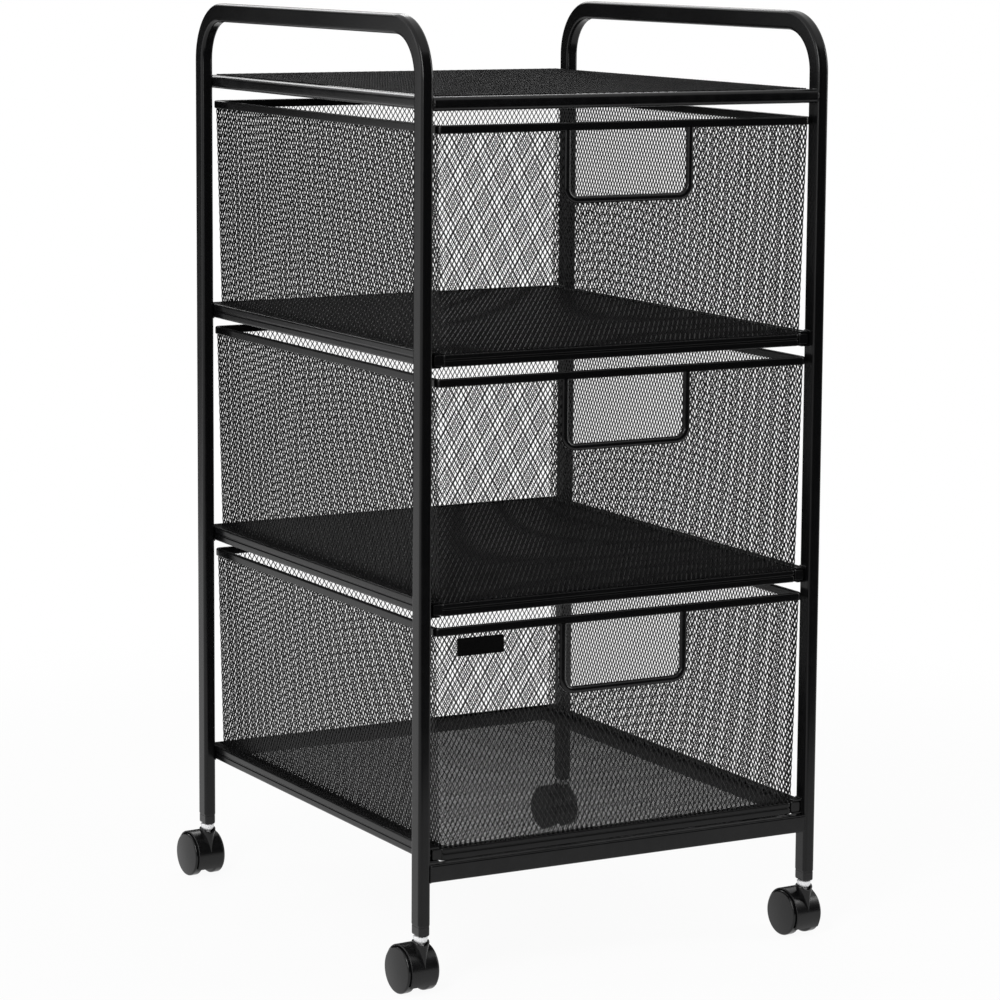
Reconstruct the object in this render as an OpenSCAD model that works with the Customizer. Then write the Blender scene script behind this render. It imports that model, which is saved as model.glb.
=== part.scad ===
/* [Frame] */
// Width over the two side frames
frame_w = 336; // [300:1:400]
// Depth over the front and back legs
frame_d = 379; // [340:1:420]
// Wide side of the side frame tube, seen from the side
tube_wide = 14; // [12:0.5:18]
// Narrow side of the side frame tube, seen from the front
tube_thin = 9.5; // [8.5:0.5:12]
// Wall of all frame tubes
tube_wall = 1.2; // [0.8:0.1:1.6]
// Corner radius of the side frame tube
tube_corner = 2.2; // [1.8:0.1:3]
// Outer radius of the bends at the ends of a push handle
bend_r = 44; // [34:1:56]
// Height of the push handles above the shelf bars
handle_rise = 56; // [40:1:90]
// Height of the open lower ends of the legs above the floor
leg_end = 52; // [46:1:60]
// Height of the bottom front rail
cross_h = 13; // [10:0.5:18]
// Corner radius of the bottom front rail
cross_corner = 1.5; // [1.3:0.1:3]
// Gap between the bottom front rail and the lowest drawer rails
cross_gap = 0.7; // [0.5:0.1:6]

/* [Top shelf] */
// Height of the shelf bars
shelf_bar_h = 10; // [8:0.5:14]
// Corner radius of the shelf bars
shelf_corner = 2.6; // [1.8:0.1:3.4]
// Gap between the top drawer and the shelf bars
shelf_gap = 9.75; // [4:0.25:20]
// Thickness of the steel mesh
mesh_t = 0.8; // [0.5:0.1:1.2]
// Step from the outside of the shelf bars in to the edge of the shelf mesh
shelf_mesh_inset = 2.8; // [1:0.1:4]
// Openings along each side of a mesh panel
mesh_cells = 12; // [6:2:12]
// Rows of openings up a drawer wall
mesh_rows = 6; // [3:1:8]
// Width of the bars between the openings
mesh_bar = 7; // [5:0.5:9]
// Width of the closed margin round the openings
mesh_margin = 3; // [2:0.5:5]

/* [Drawer rails] */
// Height of the underside of the lowest drawer rails above the floor
rail_z = 96.2; // [85:0.1:120]
// Height of a drawer rail
rail_h = 11; // [9:0.5:16]
// Reach of a drawer rail in from the side frame
rail_w = 8.5; // [7.5:0.5:12]
// Sheet thickness of the drawer rails
rail_t = 1.2; // [0.8:0.1:1.6]
// Radius of the stiffening groove pressed along the outside of a rail
rail_groove_r = 0.7; // [0.4:0.1:0.9]
// Distance of the front ends of the rails behind the front of the legs
rail_front_inset = 4; // [1:0.5:10]
// Clearance of a drawer base above and below inside its rails
rail_clear = 0.35; // [0.3:0.05:0.6]
// Thickness of the flat bar across the back that stops each drawer
stop_t = 2; // [1.5:0.1:4]

/* [Drawers] */
// Height of a drawer over its base frame and rim
drawer_h = 167.5; // [120:0.5:220]
// Gap between one drawer and the next above it
drawer_gap = 9; // [6:0.5:20]
// Gap between a drawer rim and the side frame
rim_side_gap = 4; // [3:0.5:8]
// Distance of the drawer front behind the front of the legs
front_inset = 2; // [1:0.5:8]
// Gap between a closed drawer and its back stop bar
back_gap = 1; // [0.5:0.1:4]
// Height of the rim band
rim_h = 6; // [5:0.5:9]
// Thickness of the rim band
rim_t = 3.5; // [3:0.1:5]
// Outside corner radius of the rim band
rim_corner = 5; // [3.8:0.1:9]
// Step from the outside of the rim band in to the outside of the mesh
mesh_inset = 1.2; // [0.8:0.1:1.8]
// Width of the base frame band under the mesh floor
base_band = 7; // [5:0.5:12]
// Gap between the base frame and the rails beside it
base_side_gap = 0.8; // [0.5:0.1:2]
// Height of the groove round the base frame
base_groove_h = 1.1; // [0.6:0.1:1.6]
// Depth of the groove round the base frame
base_groove_d = 0.9; // [0.4:0.1:1.4]
// Gap between a runner and the web of its rail
runner_gap = 0.6; // [0.4:0.1:1]

/* [Drawer handles] */
// Outside width of the wire loop that frames a drawer's hand hole
handle_w = 107; // [80:1:140]
// Depth of the hand hole loop below the top of the rim
handle_drop = 57.5; // [45:0.5:75]
// Diameter of the loop wire
handle_wire_d = 5.3; // [4:0.1:6.5]
// Bend radius of the loop wire at its centre
handle_bend_r = 9; // [6:0.5:16]
// Gap between the loop wire and the cut edge of the mesh
handle_edge_gap = 0.1; // [0.05:0.05:0.3]
// Width of the blank plate on the bottom drawer
badge_w = 37.5; // [20:0.5:60]
// Height of the blank plate
badge_h = 13; // [8:0.5:20]
// Thickness of the blank plate
badge_t = 0.8; // [0.5:0.1:1]
// Gap between the blank plate and the rim above it
badge_drop = 2.6; // [1:0.1:10]
// Distance of the blank plate from the left end of the drawer front
badge_left = 17.5; // [10:0.5:30]

/* [Casters] */
// Radius of a caster wheel
wheel_r = 17; // [15:0.5:22]
// Width of one wheel, with its domed cover
wheel_w = 8.2; // [6:0.1:10]
// Distance between the two wheels of a caster
wheel_split = 11.4; // [10:0.1:14]
// Height of the dome on the outside of a wheel
dome_h = 0.9; // [0.5:0.1:1.5]
// Rounding of the wheel edges
wheel_edge_r = 1.4; // [0.8:0.1:2]
// Distance of the wheel axle behind the swivel stem
trail = 11.4; // [9:0.1:14]
// Angle that the casters are swivelled to
caster_turn = 4; // [0:1:20]
// Thickness of the hood over the wheels
hood_t = 1.2; // [1:0.1:2]
// Gap between a wheel and the hood round it
hood_gap = 0.6; // [0.4:0.1:1.2]
// Gap between a wheel and the web of the hood beside it
web_gap = 0.4; // [0.3:0.1:0.8]
// Height of the open underside of the hood above the floor
hood_low = 7; // [4:0.5:11]
// Height of the top of the stem boss above the floor
boss_top = 38.5; // [38:0.1:40]
// Diameter of the top of the stem boss
boss_d = 13; // [10:0.5:14]
// Diameter of the axle
axle_d = 4; // [3:0.1:6]
// Radial clearance of turning pins and stems in their bores
turn_clear = 0.05; // [0.02:0.01:0.1]
// Diameter of the stem inside the leg insert
stem_d = 5; // [4:0.1:5.4]
// Diameter of the stem inside the hood
neck_d = 6.5; // [5.6:0.1:8]
// Diameter of the collar on the stem
collar_d = 9; // [8.2:0.1:11]
// Height of the collar on the stem
collar_h = 2; // [1:0.1:2.6]
// Gap between the stem collar and the leg insert
collar_gap = 0.3; // [0.2:0.05:0.6]
// Length of the stem above its collar
stem_l = 24; // [15:1:30]
// Height of the part of a leg insert that shows below the leg
insert_show = 8; // [5:0.5:8.5]
// Step from the outside of the leg in to the outside of the insert
insert_step = 0.4; // [0.2:0.1:0.8]
// Length of the part of a leg insert inside the leg
insert_l = 30; // [26:1:40]

/* [Hidden] */

$fn = 48;

// Amount that a cutting shape runs past what it cuts
past = 1;

// Drawer levels, counted up from the floor
bottom_level = 0;
middle_level = 1;
top_level = 2;
level_count = 3;

// Heights
drawer_pitch = drawer_h + drawer_gap;
base_h = rail_h - 2 * rail_t - 2 * rail_clear;
base_z = rail_z + rail_t + rail_clear;
shelf_z = base_z + level_count * drawer_h + (level_count - 1) * drawer_gap + shelf_gap;
frame_h = shelf_z + shelf_bar_h + handle_rise;
wall_z = base_z + base_h;
wall_h = drawer_h - base_h - rim_h;

// Places across and along the cart, from the middle of its frame
leg_x = frame_w / 2 - tube_thin / 2;
leg_y = frame_d / 2 - tube_wide / 2;
inner_x = frame_w / 2 - tube_thin;
front_y = -frame_d / 2;
rim_x = inner_x - rim_side_gap;
drawer_front = front_y + front_inset;
drawer_back = frame_d / 2 - stop_t - back_gap;
drawer_d = drawer_back - drawer_front;
drawer_mid = (drawer_front + drawer_back) / 2;
base_x = inner_x - rail_w - base_side_gap;
mesh_top_x = rim_x - mesh_inset;
mesh_bottom_x = min(base_x, mesh_top_x);
mesh_d = drawer_d - 2 * mesh_inset;
mesh_corner = rim_corner - mesh_inset;

// Runners that slide in the rails
runner_r = base_h / 2;
runner_x = inner_x - rail_t - rail_groove_r - runner_gap - runner_r;

// Hand hole
handle_x = handle_w / 2 - handle_wire_d / 2;
handle_z = drawer_h - handle_drop + handle_wire_d / 2;
handle_top = drawer_h - rim_h;
handle_y = drawer_front + rim_t / 2;

// Casters
hood_r = wheel_r + hood_gap + hood_t;
web_x = wheel_split / 2 - web_gap;
wheel_out = wheel_split / 2 + wheel_w;
hood_x = wheel_out - dome_h - wheel_edge_r / 2;
axle_l = 2 * (wheel_split / 2 + wheel_w * 0.6);
insert_bottom = leg_end - insert_show;
collar_top = insert_bottom - collar_gap;
stem_low = boss_top - 12;

// The cart is moved so that the middle of its outline on the floor is the origin
axle_off_x = -trail * sin(caster_turn);
axle_off_y = trail * cos(caster_turn);
caster_reach = hood_r * cos(caster_turn) + hood_x * sin(caster_turn);
outline_front = min(front_y, -leg_y + axle_off_y - caster_reach);
outline_back = max(frame_d / 2, leg_y + axle_off_y + caster_reach);
mid_x = axle_off_x;
mid_y = (outline_front + outline_back) / 2;

frame_black = [0.09, 0.09, 0.1];
mesh_black = [0.07, 0.07, 0.08, 0.55];
plastic_black = [0.05, 0.05, 0.055];
zinc = [0.8, 0.81, 0.83];

// Puts a piece that is modelled about the middle of the frame in its place
module placed() {
    translate([-mid_x, -mid_y, 0])
        children();
}

// Flat rectangle with round corners, centred
module round_rect(w, h, r) {
    square([w - 2 * r, h], center = true);
    square([w, h - 2 * r], center = true);
    for (sx = [-1, 1], sy = [-1, 1])
        translate([sx * (w / 2 - r), sy * (h / 2 - r)])
            circle(r = r);
}

// Straight hollow tube along z, from z = 0
module straight_tube(w, h, r, length) {
    linear_extrude(length)
        difference() {
            round_rect(w, h, r);
            round_rect(w - 2 * tube_wall, h - 2 * tube_wall, max(r - tube_wall, 0.3));
        }
}

// Flat band that follows a rectangle with round corners
module band(w, d, r, t) {
    difference() {
        round_rect(w, d, r);
        round_rect(w - 2 * t, d - 2 * t, max(r - t, 0.3));
    }
}

// Solid bar along the path of a side frame, grown or shrunk all round by grow
module frame_path(grow, below) {
    thin = tube_thin + 2 * grow;
    wide = tube_wide + 2 * grow;
    corner = max(tube_corner + grow, 0.3);
    leg_top = frame_h - bend_r;
    for (side = [-1, 1]) {
        translate([0, side * leg_y, leg_end - below])
            linear_extrude(leg_top - leg_end + below)
                round_rect(thin, wide, corner);
        mirror([0, side < 0 ? 1 : 0, 0])
            translate([0, frame_d / 2 - bend_r, leg_top])
                rotate([90, 0, 90])
                    rotate_extrude(angle = 90)
                        translate([bend_r - tube_wide / 2, 0])
                            round_rect(wide, thin, corner);
    }
    translate([0, frame_d / 2 - bend_r, frame_h - tube_wide / 2])
        rotate([90, 0, 0])
            linear_extrude(frame_d - 2 * bend_r)
                round_rect(thin, wide, corner);
}

// One side frame: two legs joined over the top by the push handle
module side_frame(side) {
    color(frame_black)
        placed()
            translate([side * leg_x, 0, 0])
                difference() {
                    frame_path(0, 0);
                    frame_path(-tube_wall, past);
                }
}

// Shelf bar across the front (end = -1) or the back (end = 1)
module shelf_cross_bar(end) {
    color(frame_black)
        placed()
            translate([-inner_x, end * (frame_d / 2 - tube_thin / 2), shelf_z + shelf_bar_h / 2])
                rotate([0, 90, 0])
                    straight_tube(shelf_bar_h, tube_thin, shelf_corner, 2 * inner_x);
}

// Shelf bar along one side, between the front and the back bar
module shelf_side_bar(side) {
    length = frame_d - 2 * tube_thin;
    color(frame_black)
        placed()
            translate([side * (inner_x - tube_thin / 2), length / 2, shelf_z + shelf_bar_h / 2])
                rotate([90, 0, 0])
                    straight_tube(tube_thin, shelf_bar_h, shelf_corner, length);
}

// Grid of openings over a flat area, with bars between them
module opening_grid(w, h, across, up) {
    cell_w = (w - (across - 1) * mesh_bar) / across;
    cell_h = (h - (up - 1) * mesh_bar) / up;
    for (i = [0 : across - 1], j = [0 : up - 1])
        translate([-w / 2 + i * (cell_w + mesh_bar), -h / 2 + j * (cell_h + mesh_bar)])
            square([cell_w, cell_h]);
}

// Mesh sheet that covers the shelf bars, open between them
module shelf_mesh() {
    width = 2 * (inner_x - shelf_mesh_inset);
    depth = frame_d - 2 * shelf_mesh_inset;
    open_w = 2 * (inner_x - tube_thin - mesh_margin);
    open_d = frame_d - 2 * (tube_thin + mesh_margin);
    color(mesh_black)
        placed()
            translate([0, 0, shelf_z + shelf_bar_h])
                linear_extrude(mesh_t)
                    difference() {
                        round_rect(width, depth, shelf_corner);
                        opening_grid(open_w, open_d, mesh_cells, mesh_cells);
                    }
}

// Tube across the front between the legs, under the bottom drawer
module bottom_front_rail() {
    color(frame_black)
        placed()
            translate([-inner_x, front_y + tube_thin / 2, rail_z - cross_gap - cross_h / 2])
                rotate([0, 90, 0])
                    straight_tube(cross_h, tube_thin, cross_corner, 2 * inner_x);
}

// Section of a drawer rail: a channel with its web at x = 0, open towards -x
module rail_section() {
    difference() {
        union() {
            translate([-rail_w, 0])
                square([rail_w, rail_t]);
            translate([-rail_w, rail_h - rail_t])
                square([rail_w, rail_t]);
            translate([-rail_t, 0])
                square([rail_t, rail_h]);
            translate([-rail_t, rail_h / 2])
                circle(r = rail_groove_r);
        }
        translate([0, rail_h / 2])
            circle(r = rail_groove_r);
    }
}

// Drawer rail fixed to the inside of both legs of a side frame
module drawer_rail(side, level) {
    length = frame_d - rail_front_inset - stop_t;
    color(frame_black)
        placed()
            mirror([side < 0 ? 1 : 0, 0, 0])
                translate([inner_x, frame_d / 2 - stop_t, rail_z + level * drawer_pitch])
                    rotate([90, 0, 0])
                        linear_extrude(length)
                            rail_section();
}

// Flat bar across the back that ties the side frames and stops a drawer
module rear_stop_bar(level) {
    color(frame_black)
        placed()
            translate([-inner_x, frame_d / 2 - stop_t, rail_z + level * drawer_pitch])
                cube([2 * inner_x, stop_t, rail_h]);
}

// Places a drawer piece whose z = 0 is the underside of the base frame
module at_drawer(level) {
    placed()
        translate([0, drawer_mid, base_z + level * drawer_pitch])
            children();
}

// Rim band round the top of a drawer
module drawer_rim(level) {
    color(frame_black)
        at_drawer(level)
            translate([0, 0, drawer_h - rim_h])
                linear_extrude(rim_h)
                    band(2 * rim_x, drawer_d, rim_corner, rim_t);
}

// Solid that fills the drawer between its base frame and its rim, inset all round
module drawer_block(inset, low, high) {
    slice = 0.01;
    hull() {
        translate([0, 0, low])
            linear_extrude(slice)
                round_rect(2 * (mesh_bottom_x - inset), mesh_d - 2 * inset, mesh_corner - inset, $fn = 32);
        translate([0, 0, high - slice])
            linear_extrude(slice)
                round_rect(2 * (mesh_top_x - inset), mesh_d - 2 * inset, mesh_corner - inset, $fn = 32);
    }
}

// Outline of the hand hole loop, from its centre line out by grow
module handle_outline(grow) {
    width = 2 * (handle_x + grow);
    height = handle_top - handle_z + 2 * grow + handle_bend_r;
    corner = handle_bend_r + grow;
    translate([0, handle_z - grow + height / 2])
        round_rect(width, height, corner);
}

// Cuts a shape on the outside of a drawer through a wall that faces the front or, turned, another side
module through_wall(angle, depth) {
    cut = 4 * handle_wire_d;
    rotate([0, 0, angle])
        translate([0, -depth / 2 + cut / 2, 0])
            rotate([90, 0, 0])
                linear_extrude(cut)
                    children();
}

// Openings of one mesh wall of the given length between its round corners
module wall_openings(length) {
    translate([0, base_h + wall_h / 2])
        opening_grid(length - 2 * mesh_margin, wall_h - 2 * mesh_margin, mesh_cells, mesh_rows);
}

// Four mesh walls, open at the hand hole
module drawer_mesh_walls(level) {
    hole_grow = handle_wire_d / 2 + handle_edge_gap;
    front_l = 2 * (mesh_bottom_x - mesh_corner);
    side_l = mesh_d - 2 * mesh_corner;
    color(mesh_black)
        at_drawer(level)
            difference() {
                drawer_block(0, base_h, handle_top);
                drawer_block(mesh_t, base_h - past, handle_top + past);
                through_wall(0, drawer_d)
                    handle_outline(hole_grow);
                through_wall(0, drawer_d)
                    difference() {
                        wall_openings(front_l);
                        handle_outline(hole_grow + mesh_margin);
                    }
                through_wall(180, drawer_d)
                    wall_openings(front_l);
                for (angle = [90, 270])
                    through_wall(angle, 2 * rim_x)
                        wall_openings(side_l);
            }
}

// Mesh floor that lies on the base frame, open inside it
module drawer_mesh_floor(level) {
    edge = mesh_t + handle_edge_gap;
    open_w = 2 * (base_x - base_band - mesh_margin);
    open_d = mesh_d - 2 * (base_band + mesh_margin);
    color(mesh_black)
        at_drawer(level)
            translate([0, 0, base_h])
                linear_extrude(mesh_t)
                    difference() {
                        round_rect(2 * (mesh_bottom_x - edge), mesh_d - 2 * edge, mesh_corner - edge);
                        opening_grid(open_w, open_d, mesh_cells, mesh_cells);
                    }
}

// Base frame under the mesh, with a groove all round and a runner on each side
module drawer_base_frame(level) {
    band_h = (base_h - base_groove_h) / 2;
    runner_l = drawer_d - 2 * rail_front_inset;
    color(frame_black)
        at_drawer(level) {
            linear_extrude(band_h)
                band(2 * base_x, mesh_d, mesh_corner, base_band);
            translate([0, 0, band_h])
                linear_extrude(base_groove_h)
                    band(2 * (base_x - base_groove_d), mesh_d - 2 * base_groove_d,
                        mesh_corner - base_groove_d, base_band - base_groove_d);
            translate([0, 0, band_h + base_groove_h])
                linear_extrude(band_h)
                    band(2 * base_x, mesh_d, mesh_corner, base_band);
            for (side = [-1, 1])
                translate([side * runner_x, runner_l / 2, base_h / 2])
                    rotate([90, 0, 0])
                        cylinder(r = runner_r, h = runner_l);
        }
}

// Wire loop round the hand hole, fixed under the rim
module drawer_handle_loop(level) {
    color(frame_black)
        at_drawer(level)
            translate([0, handle_y - drawer_mid, 0]) {
                for (side = [-1, 1]) {
                    translate([side * handle_x, 0, handle_z + handle_bend_r])
                        cylinder(d = handle_wire_d, h = handle_top - handle_z - handle_bend_r);
                    translate([side * (handle_x - handle_bend_r), 0, handle_z + handle_bend_r])
                        rotate([90, side > 0 ? 90 : 180, 0])
                            rotate_extrude(angle = 90)
                                translate([handle_bend_r, 0])
                                    circle(d = handle_wire_d);
                }
                translate([-(handle_x - handle_bend_r), 0, handle_z])
                    rotate([0, 90, 0])
                        cylinder(d = handle_wire_d, h = 2 * (handle_x - handle_bend_r));
            }
}

// Blank plate on the front of the bottom drawer
module blank_badge_plate() {
    color(plastic_black)
        at_drawer(bottom_level)
            translate([-rim_x + badge_left, -mesh_d / 2 - badge_t, handle_top - badge_drop - badge_h])
                cube([badge_w, badge_t, badge_h]);
}

// Plastic plug in the open lower end of a leg, with the bore for the stem
module leg_insert(side, end) {
    show_w = tube_thin - 2 * insert_step;
    show_d = tube_wide - 2 * insert_step;
    plug_w = tube_thin - 2 * tube_wall - 2 * turn_clear;
    plug_d = tube_wide - 2 * tube_wall - 2 * turn_clear;
    color(plastic_black)
        placed()
            translate([side * leg_x, end * leg_y, insert_bottom])
                difference() {
                    union() {
                        linear_extrude(insert_show)
                            round_rect(show_w, show_d, tube_corner - insert_step);
                        linear_extrude(insert_show + insert_l)
                            round_rect(plug_w, plug_d, tube_corner - tube_wall);
                    }
                    translate([0, 0, -past])
                        cylinder(d = stem_d + 2 * turn_clear, h = stem_l + past + 1);
                }
}

// Places a caster piece about its stem, with its wheels behind it along +y
module at_caster(side, end) {
    placed()
        translate([side * leg_x, end * leg_y, 0])
            rotate([0, 0, caster_turn])
                children();
}

// Places a piece on the axle, with its z axis along the axle
module at_axle() {
    translate([0, trail, wheel_r])
        rotate([0, 90, 0])
            children();
}

// Zinc stem that turns in the leg insert, with its collar and neck
module caster_stem(side, end) {
    color(zinc)
        at_caster(side, end) {
            translate([0, 0, stem_low])
                cylinder(d = neck_d, h = collar_top - collar_h - stem_low);
            translate([0, 0, collar_top - collar_h])
                cylinder(d = collar_d, h = collar_h);
            translate([0, 0, collar_top])
                cylinder(d = stem_d, h = collar_gap + stem_l);
        }
}

// Plastic hood: a web between the wheels, a fender over each wheel and the stem boss
module caster_hood(side, end) {
    color(plastic_black)
        at_caster(side, end)
            difference() {
                union() {
                    intersection() {
                        at_axle()
                            cylinder(r = hood_r, h = 2 * hood_x, center = true, $fn = 96);
                        translate([-hood_x - past, trail - hood_r - past, hood_low])
                            cube([2 * (hood_x + past), 2 * (hood_r + past), 2 * hood_r]);
                    }
                    translate([0, 0, wheel_r])
                        cylinder(d1 = boss_d / 3, d2 = boss_d, h = boss_top - wheel_r);
                }
                for (wheel_side = [-1, 1])
                    translate([wheel_side * (web_x + wheel_w), 0, 0])
                        at_axle()
                            cylinder(r = wheel_r + hood_gap, h = 2 * wheel_w, center = true, $fn = 96);
                translate([0, 0, stem_low])
                    cylinder(d = neck_d, h = boss_top);
                at_axle()
                    cylinder(d = axle_d, h = 2 * hood_r, center = true);
            }
}

// Steel axle held in the web of the hood
module caster_axle(side, end) {
    color(zinc)
        at_caster(side, end)
            at_axle()
                cylinder(d = axle_d, h = axle_l, center = true);
}

// Half section of a wheel: x is the radius, y runs from its inner face to its dome
module wheel_section() {
    tread_w = wheel_w - dome_h;
    dome_r = (wheel_r * wheel_r + dome_h * dome_h) / (2 * dome_h);
    bore_r = axle_d / 2 + turn_clear;
    difference() {
        intersection() {
            translate([0, wheel_w - dome_r])
                circle(r = dome_r, $fn = 360);
            union() {
                square([wheel_r - wheel_edge_r, wheel_w]);
                translate([0, wheel_edge_r])
                    square([wheel_r, tread_w - 2 * wheel_edge_r]);
                for (edge = [wheel_edge_r, tread_w - wheel_edge_r])
                    translate([wheel_r - wheel_edge_r, edge])
                        circle(r = wheel_edge_r);
            }
        }
        translate([-2 * wheel_r, -wheel_r])
            square([2 * wheel_r, 3 * wheel_r]);
        translate([0, -past])
            square([bore_r, past + axle_l / 2 - wheel_split / 2 + 0.5]);
    }
}

// Wheel on the left (wheel_side = -1) or the right of a caster
module caster_wheel(side, end, wheel_side) {
    color(plastic_black)
        at_caster(side, end)
            at_axle()
                mirror([0, 0, wheel_side < 0 ? 1 : 0])
                    translate([0, 0, wheel_split / 2])
                        rotate_extrude($fn = 96)
                            wheel_section();
}

side_frame(-1);  // left_side_frame
side_frame(1);  // right_side_frame
shelf_cross_bar(-1);  // shelf_front_bar
shelf_cross_bar(1);  // shelf_rear_bar
shelf_side_bar(-1);  // shelf_left_bar
shelf_side_bar(1);  // shelf_right_bar
shelf_mesh();
bottom_front_rail();
drawer_rail(-1, top_level);  // top_left_drawer_rail
drawer_rail(1, top_level);  // top_right_drawer_rail
rear_stop_bar(top_level);  // top_rear_stop_bar
drawer_rail(-1, middle_level);  // middle_left_drawer_rail
drawer_rail(1, middle_level);  // middle_right_drawer_rail
rear_stop_bar(middle_level);  // middle_rear_stop_bar
drawer_rail(-1, bottom_level);  // bottom_left_drawer_rail
drawer_rail(1, bottom_level);  // bottom_right_drawer_rail
rear_stop_bar(bottom_level);  // bottom_rear_stop_bar
drawer_rim(top_level);  // top_drawer_rim
drawer_mesh_walls(top_level);  // top_drawer_mesh_walls
drawer_mesh_floor(top_level);  // top_drawer_mesh_floor
drawer_base_frame(top_level);  // top_drawer_base_frame
drawer_handle_loop(top_level);  // top_drawer_handle_loop
drawer_rim(middle_level);  // middle_drawer_rim
drawer_mesh_walls(middle_level);  // middle_drawer_mesh_walls
drawer_mesh_floor(middle_level);  // middle_drawer_mesh_floor
drawer_base_frame(middle_level);  // middle_drawer_base_frame
drawer_handle_loop(middle_level);  // middle_drawer_handle_loop
drawer_rim(bottom_level);  // bottom_drawer_rim
drawer_mesh_walls(bottom_level);  // bottom_drawer_mesh_walls
drawer_mesh_floor(bottom_level);  // bottom_drawer_mesh_floor
drawer_base_frame(bottom_level);  // bottom_drawer_base_frame
drawer_handle_loop(bottom_level);  // bottom_drawer_handle_loop
blank_badge_plate();
leg_insert(-1, -1);  // front_left_leg_insert
caster_stem(-1, -1);  // front_left_caster_stem
caster_hood(-1, -1);  // front_left_caster_hood
caster_axle(-1, -1);  // front_left_caster_axle
caster_wheel(-1, -1, -1);  // front_left_left_wheel
caster_wheel(-1, -1, 1);  // front_left_right_wheel
leg_insert(1, -1);  // front_right_leg_insert
caster_stem(1, -1);  // front_right_caster_stem
caster_hood(1, -1);  // front_right_caster_hood
caster_axle(1, -1);  // front_right_caster_axle
caster_wheel(1, -1, -1);  // front_right_left_wheel
caster_wheel(1, -1, 1);  // front_right_right_wheel
leg_insert(-1, 1);  // back_left_leg_insert
caster_stem(-1, 1);  // back_left_caster_stem
caster_hood(-1, 1);  // back_left_caster_hood
caster_axle(-1, 1);  // back_left_caster_axle
caster_wheel(-1, 1, -1);  // back_left_left_wheel
caster_wheel(-1, 1, 1);  // back_left_right_wheel
leg_insert(1, 1);  // back_right_leg_insert
caster_stem(1, 1);  // back_right_caster_stem
caster_hood(1, 1);  // back_right_caster_hood
caster_axle(1, 1);  // back_right_caster_axle
caster_wheel(1, 1, -1);  // back_right_left_wheel
caster_wheel(1, 1, 1);  // back_right_right_wheel
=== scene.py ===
"""Looks of a rolling cart with mesh drawers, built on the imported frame."""
import logging
import math
from dataclasses import dataclass, field
from enum import Enum
from typing import Any, Callable, Optional, Sequence

import bmesh
import bpy
import numpy as np
from mathutils import Matrix, Vector


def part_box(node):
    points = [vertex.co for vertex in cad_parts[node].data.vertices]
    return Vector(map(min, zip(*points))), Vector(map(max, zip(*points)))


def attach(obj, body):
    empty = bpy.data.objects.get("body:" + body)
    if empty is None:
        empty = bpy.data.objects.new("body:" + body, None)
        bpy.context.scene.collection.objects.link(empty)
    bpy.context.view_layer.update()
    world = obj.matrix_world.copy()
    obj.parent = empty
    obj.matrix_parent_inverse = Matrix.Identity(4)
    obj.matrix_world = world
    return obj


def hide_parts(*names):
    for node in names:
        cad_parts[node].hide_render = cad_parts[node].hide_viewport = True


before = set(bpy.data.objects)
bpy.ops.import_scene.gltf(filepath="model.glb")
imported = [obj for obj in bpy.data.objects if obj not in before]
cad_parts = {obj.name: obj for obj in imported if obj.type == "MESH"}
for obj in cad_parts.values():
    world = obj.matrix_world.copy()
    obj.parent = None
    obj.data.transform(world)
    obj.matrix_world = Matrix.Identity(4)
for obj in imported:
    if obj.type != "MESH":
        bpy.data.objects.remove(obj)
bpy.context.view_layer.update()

log = logging.getLogger("drawer_cart")

MM = 0.001
ALONG_X, ALONG_Y, ALONG_Z = (1.0, 0.0, 0.0), (0.0, 1.0, 0.0), (0.0, 0.0, 1.0)
WHITE = (1.0, 1.0, 1.0)
Array = np.ndarray
Point = Sequence[float]
Surface = Callable[[Array, Array, Array], Array]
Edge = Callable[[Array], Array]
Colour = tuple[float, float, float]
Socket, Node, Tree = bpy.types.NodeSocket, bpy.types.Node, bpy.types.NodeTree
Feeds = dict[int | str, float | Colour | Socket]


class Side(Enum):
    """Left or right of the cart, seen from the drawer fronts."""

    LEFT = -1
    RIGHT = 1


class End(Enum):
    """Front or back of the cart."""

    FRONT = -1
    BACK = 1


class Level(Enum):
    """Drawers counted up from the floor."""

    BOTTOM = 0
    MIDDLE = 1
    TOP = 2


class Slot(Enum):
    """Material slots of the record."""

    POWDER_COAT = "powder_coat"
    STEEL_MESH = "steel_mesh"
    BADGE = "badge_plastic"
    CASTER = "caster_plastic"
    WHEEL = "wheel_plastic"
    ZINC = "zinc"


# Outlines


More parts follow.
